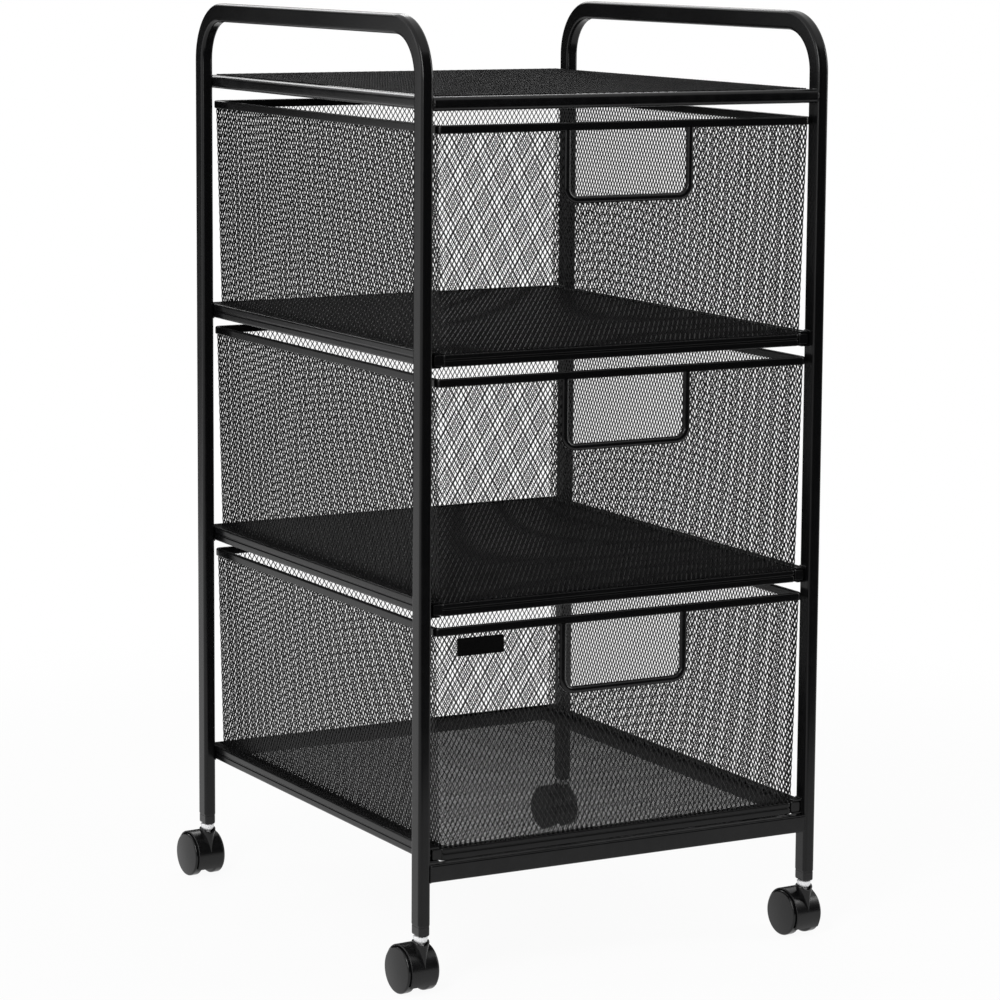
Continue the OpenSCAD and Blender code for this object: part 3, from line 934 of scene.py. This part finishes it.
@dataclass
class DrawerRails:
    """The two rolled rails and the stop bar of one drawer level."""

    level: Level
    inner_x: float = 158.5
    half_y: float = 189.5
    low: float = 96.2
    pitch: float = 176.5
    height: float = 11.0
    reach: float = 8.5
    sheet: float = 1.2
    groove: float = 0.7
    front_inset: float = 4.0
    stop: float = 2.0
    stop_corner: float = 0.5
    leg: float = 13.4
    bead: float = 0.65
    bead_front: float = 0.8
    bead_back: float = 1.0
    bead_up: float = 0.1

    def section(self) -> Array:
        """Outline of a rail: web at x = 0, open towards -x, grooved along its outside."""
        h, w, t, g = self.height, self.reach, self.sheet, self.groove
        m = h / 2
        points = [
            (-w, 0), (0, 0), (0, m - g * 1.4), (-g, m), (0, m + g * 1.4), (0, h), (-w, h), (-w, h - t),
            (-t, h - t), (-t, m + g * 1.2), (-t - g, m), (-t, m - g * 1.2), (-t, t), (-w, t),
        ]
        radii = [0.5, 1.7, 0.6, 0.5, 0.6, 1.7, 0.5, 0.5, 0.6, 0.3, 0.5, 0.3, 0.6, 0.5]
        return filleted(points, radii, 4)

    def build(self, bench: Bench) -> None:
        """Makes both rails and the stop bar."""
        low = self.low + self.level.value * self.pitch
        level = self.level.name.lower()
        front, back = -self.half_y + self.front_inset, self.half_y - self.stop
        outline = self.section()
        beads, bead, far = Shape(), WeldBead(self.bead), self.half_y - self.leg
        for side in Side:
            x = side.value * self.inner_x
            for end, near in ((End.FRONT, abs(front) - self.bead_front), (End.BACK, back - self.bead_back)):
                for z in (low + self.bead_up, low + self.height - self.bead_up):
                    bead.straight(beads, (x, end.value * far, z), (x, end.value * near, z))
            shape = Shape()
            places = [(x, y, low) for y in (front, back)]
            shape.sweep(outline, Path.fixed(places, (side.value, 0.0, 0.0), ALONG_Z))
            name = f"{level}_{side.name.lower()}_drawer_rail"
            bench.place(f"{name}_channel", shape, POWDER_COAT, "frame", [name])
        bench.place(f"{level}_rail_welds", beads, POWDER_COAT, "frame")
        shape = Shape()
        y, z = self.half_y - self.stop / 2, low + self.height / 2
        flat = rectangle(self.stop, self.height, self.stop_corner, 3)
        shape.bar(flat, (-self.inner_x, y, z), (self.inner_x, y, z), ALONG_Z)
        bench.place(f"{level}_rear_stop_flat", shape, POWDER_COAT, "frame", [f"{level}_rear_stop_bar"])


@dataclass
class Drawer:
    """One mesh drawer with its rim, base frame and hand hole."""

    level: Level
    low: float = 97.75
    pitch: float = 176.5
    height: float = 167.5
    front: float = -187.5
    back: float = 186.5
    rim_half: float = 154.5
    rim_height: float = 6.0
    rim_thick: float = 3.5
    rim_corner: float = 5.0
    mesh_inset: float = 1.2
    mesh_thick: float = 0.8
    mesh_overlap: float = 0.6
    end_pitch: float = 4.1
    side_pitch: float = 4.24
    side_strand: float = 0.43
    floor_strand: float = 0.55
    floor_gap: float = 0.1
    base_half: float = 149.2
    base_height: float = 7.9
    base_band: float = 7.0
    base_lip: float = 1.0
    groove_height: float = 1.1
    groove_depth: float = 0.9
    runner_x: float = 152.05
    runner_inset: float = 4.0
    loop_width: float = 107.0
    loop_drop: float = 57.5
    wire: float = 5.3
    loop_bend: float = 9.0
    wire_overlap: float = 0.5
    hole_rise: float = 20.0

    @property
    def base(self) -> float:
        """Height of the drawer's underside."""
        return self.low + self.level.value * self.pitch

    @property
    def mid_y(self) -> float:
        """Middle of the drawer, front to back."""
        return (self.front + self.back) / 2

    @property
    def half_y(self) -> float:
        """Half of the drawer's depth."""
        return (self.back - self.front) / 2

    @property
    def body(self) -> str:
        """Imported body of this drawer."""
        return f"{self.level.name.lower()}_drawer"

    def build(self, bench: Bench) -> None:
        """Makes every piece of the drawer."""
        self._rim(bench)
        self._base(bench)
        self._walls(bench)
        self._floor(bench)
        self._loop(bench)

    def _at(self, path: Path, z: float) -> Path:
        """Moves a level path to the drawer's middle and to height z."""
        path.places = path.places + np.array([0.0, self.mid_y, z])
        return path

    def _rim(self, bench: Bench) -> None:
        """Band round the top, with softened edges."""
        inset = self.rim_thick / 2
        path = flat_loop(self.rim_half - inset, self.half_y - inset, self.rim_corner - inset, 8)
        z = self.base + self.height - self.rim_height / 2
        section = rectangle(self.rim_thick, self.rim_height, [0.8, 0.9, 1.3, 1.1])
        shape = Shape()
        shape.sweep(section, self._at(path, z))
        bench.place(f"{self.body}_rim_band", shape, POWDER_COAT, self.body, [f"{self.body}_rim"])

    def _base(self, bench: Bench) -> None:
        """Rolled band with a groove, and the runner on each side."""
        band = (self.base_height - self.groove_height) / 2
        d, b, lip = self.groove_depth, self.base_band, self.base_lip
        h1, h2, h3 = band, band + self.groove_height, self.base_height
        points = [(-b, -lip), (0, -lip), (0, h1), (-d, h1 + 0.15), (-d, h2 - 0.15), (0, h2), (0, h3),
                  (-b, h3)]
        section = filleted(points, [0.4, 0.9, 0.6, 0.25, 0.25, 0.6, 1.0, 0.4], 4)
        corner = self.rim_corner - self.mesh_inset
        path = flat_loop(self.base_half, self.half_y - self.mesh_inset, corner, 8)
        shape = Shape()
        shape.sweep(section, self._at(path, self.base))
        radius = self.base_height / 2
        reach = self.half_y - self.runner_inset
        ends = [(inset - reach, radius - cut) for inset, cut in ((0.0, 1.0), (0.4, 0.3), (1.2, 0.0))]
        ends += [(-y, r) for y, r in reversed(ends)]
        for side in Side:
            places = [(side.value * self.runner_x, self.mid_y + y, self.base + radius) for y, _ in ends]
            shape.sweep([circle(2 * r, 24) for _, r in ends], Path.fixed(places, ALONG_X, ALONG_Z))
            self._end_plug(shape, side)
        bench.place(f"{self.body}_base_band", shape, POWDER_COAT, self.body, [f"{self.body}_base_frame"])

    def _end_plug(self, shape: Shape, side: Side) -> None:
        """Adds the square plug in the front end of a runner.

        Args:
            shape: Shape to add to.
            side: Side of the drawer.
        """
        x, z = side.value * self.runner_x, self.base + self.base_height / 2
        face, size = self.front + self.mesh_inset + 0.1, self.base_height
        steps = ((0.0, 0.6), (0.2, 0.25), (0.6, 0.0), (4.4, 0.0))
        shape.sweep(
            [rectangle(size - 2 * cut, size - 2 * cut, 1.5 - cut) for _, cut in steps],
            Path.fixed([(x, face + y, z) for y, _ in steps], ALONG_X, ALONG_Z),
        )

    def _wall_surface(self, way: int) -> Surface:
        """Surface of one wall, from the middle of one corner to the middle of the next.

        Args:
            way: 0 front, 1 right, 2 back, 3 left.

        Returns:
            Maps u from -1 to 1, height and depth to places.
        """
        low, high = self.base + self.base_height, self.base + self.height - self.rim_height
        inset = self.mesh_thick / 2
        corner = self.rim_corner - self.mesh_inset - inset
        half_y = self.half_y - self.mesh_inset - inset
        top_half = self.rim_half - self.mesh_inset - inset
        low_half = self.base_half - inset

        def surface(u: Array, v: Array, d: Array) -> Array:
            """Follows the flat wall and half of each round corner."""
            share = (v - low) / (high - low)
            half_x = low_half + (top_half - low_half) * share
            along = half_x if way in (0, 2) else np.full_like(half_x, half_y)
            out = np.full_like(half_x, half_y) if way in (0, 2) else half_x
            flat = along - corner
            total = flat + corner * math.pi / 4
            reach = np.abs(u) * total
            angle = np.clip((reach - flat) / corner, 0, None)
            a = np.where(angle > 0, flat + (corner + d) * np.sin(angle), reach)
            o = out - corner + (corner + d) * np.cos(angle)
            a = np.copysign(a, u)
            x, y = {0: (a, -o), 1: (o, a), 2: (-a, o), 3: (-o, -a)}[way]
            return np.stack([x, y + self.mid_y, v], 1)

        return surface

    def _walls(self, bench: Bench) -> None:
        """Four walls of expanded mesh, the front one cut out at the hand hole."""
        names = ("front", "right", "back", "left")
        low = self.base + self.base_height
        high = self.base + self.height - self.rim_height + self.mesh_overlap
        corner = self.rim_corner - self.mesh_inset - self.mesh_thick / 2
        for way, name in enumerate(names):
            half = (self.rim_half if way in (0, 2) else self.half_y) - self.mesh_inset - self.mesh_thick / 2
            length = half - corner + corner * math.pi / 4
            surface = self._wall_surface(way)
            sides = ExpandedMesh(self.side_pitch, strand=self.side_strand)
            net = ExpandedMesh(self.end_pitch) if way in (0, 2) else sides

            def scaled(u: Array, v: Array, d: Array, total: float = length, on: Surface = surface) -> Array:
                """Passes u as a share of the wall's half length."""
                return on(u / total, v, d)

            nodes, hole = ([f"{self.body}_mesh_walls"], self._hole()) if name == "front" else ([], None)
            shape = net.panel((-length, length), (low, high), scaled, last=False, hole=hole)
            bench.place(f"{self.body}_{name}_mesh", shape, MESH_COAT, self.body, nodes, smooth=None)

    def _hole(self) -> Edge:
        """Signed distance to the hand hole, cut at the middle of its wire."""
        half = (self.loop_width - self.wire) / 2
        low = self.base + self.height - self.loop_drop + self.wire / 2
        high = self.base + self.height + self.hole_rise
        mid, tall, r = (low + high) / 2, (high - low) / 2, self.loop_bend

        def distance(p: Array) -> Array:
            """Distance outside a rectangle with round corners."""
            q = np.stack([np.abs(p[:, 0]) - half + r, np.abs(p[:, 1] - mid) - tall + r], 1)
            return np.linalg.norm(np.maximum(q, 0), axis=1) + np.minimum(q.max(1), 0) - r

        return distance

    def _floor(self, bench: Bench) -> None:
        """Floor of expanded mesh on the base frame."""
        edge = self.mesh_thick + self.floor_gap
        half_x = self.base_half - edge
        half_y = self.half_y - self.mesh_inset - edge
        level = self.base + self.base_height + self.mesh_thick / 2

        def surface(u: Array, v: Array, d: Array) -> Array:
            """Long diamonds run front to back."""
            return np.stack([u, v + self.mid_y, level + d], 1)

        net = ExpandedMesh(strand=self.floor_strand)
        shape = net.panel((-half_x, half_x), (-half_y, half_y), surface)
        nodes = [f"{self.body}_mesh_floor"]
        bench.place(f"{self.body}_floor_mesh", shape, MESH_COAT, self.body, nodes, smooth=None)

    def _loop(self, bench: Bench) -> None:
        """Bent wire round the hand hole, with its ends welded under the rim."""
        x = (self.loop_width - self.wire) / 2
        y = self.front + self.rim_thick / 2
        top = self.base + self.height - self.rim_height + self.wire_overlap
        low = self.base + self.height - self.loop_drop + self.wire / 2
        corners = [(-x, y, top), (-x, y, low), (x, y, low), (x, y, top)]
        shape = Shape()
        shape.sweep(circle(self.wire, 20), bent_path(corners, self.loop_bend, ALONG_Y, 12))
        bench.place(f"{self.body}_hand_loop", shape, POWDER_COAT, self.body, [f"{self.body}_handle_loop"])


@dataclass
class BlankPlate:
    """Plain plate on the front of the bottom drawer."""

    width: float = 37.5
    height: float = 13.0
    thick: float = 0.8
    left: float = -137.0
    top: float = 256.65
    face_y: float = -186.3
    corner: float = 1.3
    soft: float = 0.25

    def build(self, bench: Bench) -> None:
        """Makes the plate with a softened front edge."""
        thick, soft = self.thick, self.soft
        steps = ((0.0, 0.0), (0.0, thick - soft), (soft * 0.3, thick - soft * 0.3), (soft, thick))
        x, z = self.left + self.width / 2, self.top - self.height / 2
        shape = Shape()
        shape.sweep(
            [rectangle(self.width - 2 * cut, self.height - 2 * cut, self.corner, 5) for cut, _ in steps],
            Path.fixed([(x, self.face_y - out, z) for _, out in steps], ALONG_X, ALONG_Z),
        )
        bench.place("blank_badge", shape, BADGE_PLASTIC, "bottom_drawer", ["blank_badge_plate"])


@dataclass
class Caster:
    """Twin wheel caster with its stem and the insert in the leg."""

    side: Side
    end: End
    leg_x: float = 163.25
    leg_y: float = 182.5
    turn: float = 4.0
    trail: float = 11.4
    wheel_r: float = 17.0
    split: float = 11.4
    wheel_w: float = 8.2
    shoulder: float = 1.4
    dome: float = 1 / 320
    hood_r: float = 18.8
    hood_wall: float = 1.2
    web: float = 5.3
    hood_x: float = 10.9
    hood_low: float = 7.0
    boss_top: float = 40.4
    boss_foot: float = 21.0
    boss_d: float = 12.8
    boss_root: float = 7.0
    boss_dip: float = 3.4
    boss_dip_reach: float = 8.0
    neck_d: float = 5.2
    neck_low: float = 30.0
    pin_r: float = 2.5
    pin_long: float = 14.0
    collar_d: float = 10.7
    collar_low: float = 38.2
    collar_high: float = 43.7
    insert_low: float = 44.0
    insert_top: float = 52.0
    insert_x: float = 8.7
    insert_y: float = 13.2
    plug_cut: float = 1.5
    plug_long: float = 6.0

    @property
    def name(self) -> str:
        """Corner of the cart that it stands at."""
        return f"{self.end.name.lower()}_{self.side.name.lower()}"

    def _turned(self, points: Array) -> Array:
        """Turns points about the stem and moves them to the leg."""
        a = math.radians(self.turn)
        x = points[:, 0] * math.cos(a) - points[:, 1] * math.sin(a)
        y = points[:, 0] * math.sin(a) + points[:, 1] * math.cos(a)
        return np.stack([x + self.side.value * self.leg_x, y + self.end.value * self.leg_y, points[:, 2]], 1)

    def _on_axle(self, points: Array) -> Array:
        """Lays what was turned round z along the axle instead."""
        x, y, z = points[:, 2], points[:, 1] + self.trail, self.wheel_r - points[:, 0]
        return self._turned(np.stack([x, y, z], 1))

    def build(self, bench: Bench) -> None:
        """Makes every piece of the caster."""
        self._insert(bench)
        self._stem(bench)
        self._hood(bench)
        for side in Side:
            self._wheel(bench, side)
        bench.dress(f"{self.name}_caster_axle", ZINC_PLATE_PAINTED_REFLECTION)

    def _insert(self, bench: Bench) -> None:
        """Plastic end of the leg, a little narrower at its foot."""
        low, top = self.insert_low, self.insert_top
        steps = ((low, 1.0), (low + 0.35, 0.35), (low + 1.0, 0.05), (low + 1.6, 0.0), (top - 1.5, 0.0),
                 (top - 1.4, 0.18), (top - 0.9, 0.18), (top - 0.8, 0.0), (top, 0.0),
                 (top, self.plug_cut), (top + self.plug_long, self.plug_cut))
        x, y = self.side.value * self.leg_x, self.end.value * self.leg_y
        shape = Shape()
        shape.sweep(
            [rectangle(self.insert_x - 2 * cut, self.insert_y - 2 * cut, max(1.8 - cut, 0.4), 5)
             for _, cut in steps],
            Path.fixed([(x, y, z) for z, _ in steps], ALONG_X, ALONG_Y),
        )
        bench.place(f"{self.name}_insert", shape, CASTER_PLASTIC, "frame", [f"{self.name}_leg_insert"])

    def _stem(self, bench: Bench) -> None:
        """Turned stem: neck in the hood, bowl under the leg, and the pin in the insert."""
        neck, collar, pin = self.neck_d / 2, self.collar_d / 2, self.pin_r
        low, high = self.collar_low, self.collar_high
        bowl = [
            (neck + (collar - neck) * math.sin(a) ** 0.8, low + (high - 0.9 - low) * (1 - math.cos(a)))
            for a in np.radians(np.linspace(6, 88, 12))
        ]
        profile = [
            (0.4, self.neck_low), (neck, self.neck_low), (neck, low), *bowl, (collar, high - 0.9),
            (collar, high - 0.5), (collar - 0.3, high - 0.15), (collar - 0.7, high), (pin + 0.2, high),
            (pin, high + 0.2), (pin, high + self.pin_long), (0.4, high + self.pin_long),
        ]
        shape = Shape()
        shape.lathe(profile, 40)
        bench.place(
            f"{self.name}_stem", shape.moved(self._turned), ZINC_PLATE_PAINTED_REFLECTION, f"{self.name}_caster",
            [f"{self.name}_caster_stem"],
        )

    def _hood(self, bench: Bench) -> None:
        """Fenders and web in one moulding, open below, with the boss for the stem."""
        r, t, w, x = self.hood_r, self.hood_wall, self.web, self.hood_x
        inner = r - t
        corners = [(0.5, -w), (inner, -w), (inner, -x), (r, -x), (r, x), (inner, x), (inner, w), (0.5, w)]
        outline = filleted(corners, [0.0, 0.6, 0.35, 0.7, 0.7, 0.35, 0.6, 0.0], 4)
        shell = Shape()
        shell.lathe(outline, 96)
        shape = shell.moved(self._on_axle)
        shape.join(self._boss().moved(self._turned))

        def opened(work: bmesh.types.BMesh) -> None:
            """Cuts the underside off level and closes the cut."""
            cut = bmesh.ops.bisect_plane(
                work, geom=work.verts[:] + work.edges[:] + work.faces[:], dist=1e-4,
                plane_co=(0, 0, self.hood_low), plane_no=(0, 0, -1), clear_outer=True,
            )
            edges = [e for e in cut["geom_cut"] if isinstance(e, bmesh.types.BMEdge)]
            bmesh.ops.triangle_fill(work, edges=edges, use_beauty=True, use_dissolve=True, normal=(0, 0, -1))

        bench.place(
            f"{self.name}_hood", shape, CASTER_PLASTIC, f"{self.name}_caster",
            [f"{self.name}_caster_hood"], change=opened,
        )

    def _boss(self) -> Shape:
        """Boss that carries the stem: a V that runs out in the hood, with a cup on top that dips in front.

        Returns:
            The boss, before the caster is turned and moved to its leg.
        """
        top, foot, half, neck = self.boss_top, self.boss_foot, self.boss_d / 2, self.neck_d / 2
        across, ahead = circle(2.0, 72)[:, ::-1].T
        front = np.clip(ahead, 0.0, 1.0) ** 2

        def ring(wide: float, deep: float, z: float, dip: float) -> Array:
            """One ring of the boss, lowered by dip in front."""
            return np.stack([wide * across, -deep * ahead, z - dip * front], 1)

        rings = [ring(0.3, self.boss_root, foot - 0.6, 0.0)]
        for k in range(25):
            wide, z = 0.8 + (half - 0.8) * k / 24, foot + (top - 0.9 - foot) * k / 24
            deep = self.boss_root + (half - self.boss_root) * (z - foot) / (top - foot)
            reach = self.boss_dip_reach
            rings.append(ring(wide, deep, z, self.boss_dip * max((z - top + reach) / reach, 0.0)))
        cup = [(half - 0.2, 0.3), (half - 0.6, 0.0), (half - 1.1, 0.1), (neck + 2.2, 0.8), (neck + 1.2, 1.8),
               (neck, 2.6), (0.4, 2.8)]
        rings += [ring(r, r, top - down, self.boss_dip) for r, down in cup]
        boss = Shape()
        boss.rings(np.array(rings))
        return boss

    def _wheel(self, bench: Bench, side: Side) -> None:
        """Wheel with a domed glossy face, a round shoulder and a plain tread."""
        near, far, r = self.split / 2, self.split / 2 + self.wheel_w, self.wheel_r
        bend = self.shoulder
        face = [(share * (r - bend), far - (share * (r - bend)) ** 2 * self.dome)
                for share in (0.03, 0.2, 0.4, 0.6, 0.8, 0.95)]
        low = far - (r - bend) ** 2 * self.dome
        edge = [
            (r - bend + bend * math.sin(a), low - bend + bend * math.cos(a))
            for a in np.radians(np.linspace(6, 90, 12))
        ]
        tread = [(r, near + 1.6), (16.85, near + 0.9), (16.45, near + 0.35), (15.8, near + 0.05),
                 (15.2, near)]
        shape = Shape()
        shape.lathe(face + edge + tread + [(0.4, near)], 96)

        def mirrored(points: Array) -> Array:
            """Sets the wheel on its side of the axle."""
            return self._on_axle(points * np.array([1.0, 1.0, float(side.value)]))

        name = f"{self.name}_{side.name.lower()}_wheel"
        bench.place(f"{name}_disc", shape.moved(mirrored), WHEEL_PLASTIC, name, [name])


# Studio


@dataclass
class Studio:
    """Pale floor, soft light and the camera."""

    place: Point = (-1.33420773, -2.40264924, 0.76105165)
    azimuth: float = 0.50688
    tilt: float = 0.13752
    roll: float = 0.00664
    focal: float = 3635.96 / 1000 * 36.0
    shift_y: float = -0.08
    floor_reach: float = 14.0
    floor_glow: float = 0.94
    fade: tuple[float, float] = (0.55, 1.15)
    room_light: float = 0.6

    def build(self, bench: Bench) -> None:
        """Makes the camera, the floor, the lamps and the world."""
        self._camera(bench)
        self._floor()
        self._world()
        flags = {
            "dark_wall": [(-2.6, -3.4, -0.1), (6.0, -3.4, -0.1), (6.0, -3.4, 4.0), (-2.6, -3.4, 4.0)],
            "dark_ground": [(-2.6, -3.4, 0.004), (6.0, -3.4, 0.004), (6.0, -0.75, 0.004),
                            (-2.6, -0.75, 0.004)],
            "dark_back": [(-1.1, 1.55, 0.7), (-0.75, 1.55, 0.02), (1.7, 1.55, 0.02), (1.7, 1.55, 0.98),
                          (0.4, 1.55, 1.05), (-1.1, 1.55, 1.3)],
        }
        black = self._flag_material()
        for name, corners in flags.items():
            self._sheet(name, corners, black)
        self._lamp("strip_behind", (0.4, 1.85, 1.62), (0.0, 0.0, 0.6), 1.6, 0.5, 9.0)
        self._lamp("tall_panel_left", (-1.5, -1.3, 1.35), (-0.1, -0.1, 0.6), 0.5, 1.5, 25.0)
        self._lamp("tall_panel_right", (1.5, -0.85, 1.0), (0.0, -0.1, 0.6), 0.4, 0.9, 9.0)
        self._lamp("soft_left", (-2.3, 0.9, 1.3), (0.0, 0.0, 0.4), 1.2, 1.2, 6.0)

    def _camera(self, bench: Bench) -> None:
        """Camera at the photograph's angle."""
        data = bpy.data.cameras.new("camera")
        camera = bpy.data.objects.new("camera", data)
        bpy.context.scene.collection.objects.link(camera)
        bpy.context.scene.camera = camera
        az, el, roll = self.azimuth, self.tilt, self.roll
        ahead = Vector((math.sin(az) * math.cos(el), math.cos(az) * math.cos(el), -math.sin(el)))
        right = Vector((math.cos(az), -math.sin(az), 0.0))
        up = right.cross(ahead)
        right, up = (
            math.cos(roll) * right + math.sin(roll) * up,
            -math.sin(roll) * right + math.cos(roll) * up,
        )
        where = Vector(self.place) + Vector((bench.mid_x * MM, bench.mid_y * MM, 0.0))
        turned = Matrix((right, up, -ahead)).transposed().to_4x4()
        camera.matrix_world = Matrix.Translation(where) @ turned
        data.sensor_width = 36.0
        data.lens = self.focal
        data.shift_y = self.shift_y
        data.clip_start, data.clip_end = 0.05, 100.0

    @staticmethod
    def _sheet(name: str, corners: Sequence[Point], paint: bpy.types.Material) -> None:
        """One flat sheet that belongs to the studio.

        Args:
            name: Name of the sheet.
            corners: Its corners in metres.
            paint: Its material.
        """
        mesh = bpy.data.meshes.new(name)
        mesh.from_pydata(corners, [], [tuple(range(len(corners)))])
        mesh.materials.append(paint)
        sheet = bpy.data.objects.new(name, mesh)
        bpy.context.scene.collection.objects.link(sheet)

    @staticmethod
    def _flag_material() -> bpy.types.Material:
        """Black cloth that darkens reflections and that the camera sees through."""
        made = bpy.data.materials.new("black_flag")
        wires = Wiring.emptied(made)
        cloth, clear = wires.add("BsdfDiffuse", {"Color": (0.02, 0.02, 0.02)}), wires.add("BsdfTransparent")
        wires.end("OutputMaterial", wires.add("LightPath").outputs["Is Camera Ray"], cloth, clear)
        return made

    def _floor(self) -> None:
        """Pale floor that keeps a soft shadow and fades to white away from the cart."""
        made = bpy.data.materials.new("pale_floor")
        wires = Wiring.emptied(made)
        rays = wires.add("LightPath").outputs
        seen = wires.sum("MAXIMUM", rays["Is Camera Ray"], rays["Is Glossy Ray"])
        away = wires.add("VectorMath", {0: wires.add("TexCoord").outputs["Object"]}, operation="LENGTH")
        fade = wires.add("MapRange", {
            "Value": away.outputs["Value"], "From Min": self.fade[0], "From Max": self.fade[1],
            "To Min": self.floor_glow,
        }, interpolation_type="SMOOTHSTEP")
        paint = wires.add("BsdfDiffuse", {"Color": (0.86, 0.86, 0.86)})
        glow = wires.add("Emission", {"Color": WHITE})
        wires.end("OutputMaterial", wires.sum("MULTIPLY", seen, fade.outputs["Result"]), paint, glow)
        r = self.floor_reach
        self._sheet("studio_floor", [(-r, -r, 0), (r, -r, 0), (r, r, 0), (-r, r, 0)], made)

    def _world(self) -> None:
        """White to the camera and to reflections, and a plain soft light to everything else."""
        world = bpy.data.worlds.new("studio")
        bpy.context.scene.world = world
        wires = Wiring.emptied(world)
        rays = wires.add("LightPath").outputs
        seen = rays["Is Camera Ray"]
        for kind in ("Is Glossy Ray", "Is Transmission Ray"):
            seen = wires.sum("MAXIMUM", seen, rays[kind])
        room = wires.add("Background", {"Color": WHITE, "Strength": self.room_light})
        wires.end("OutputWorld", seen, room, wires.add("Background", {"Color": WHITE}))

    @staticmethod
    def _lamp(name: str, at: Point, aim: Point, width: float, height: float, power: float) -> None:
        """One soft lamp.

        Args:
            name: Name of the lamp.
            at: Its place in metres.
            aim: The point that it faces.
            width: Width of its face.
            height: Height of its face.
            power: Power in watts.
        """
        data = bpy.data.lights.new(name, "AREA")
        data.shape = "RECTANGLE"
        data.size, data.size_y = width, height
        data.energy = power
        lamp = bpy.data.objects.new(name, data)
        lamp.visible_camera = False
        lamp.location = at
        lamp.rotation_mode = "QUATERNION"
        lamp.rotation_quaternion = (Vector(aim) - Vector(at)).to_track_quat("-Z", "Y")
        bpy.context.scene.collection.objects.link(lamp)


def main() -> None:
    """Builds the cart from the frame outwards, then the studio."""
    logging.basicConfig(level=logging.INFO, format="%(name)s %(message)s")
    bpy.context.scene.view_settings.view_transform = "Standard"
    bench = Bench.from_frame()
    for side in Side:
        SideFrame(side).build(bench)
    Shelf().build(bench)
    CrossRail().build(bench)
    for level in Level:
        DrawerRails(level).build(bench)
        Drawer(level).build(bench)
    BlankPlate().build(bench)
    for end in End:
        for side in Side:
            Caster(side, end).build(bench)
    Studio().build(bench)


if __name__ == "__main__":
    main()
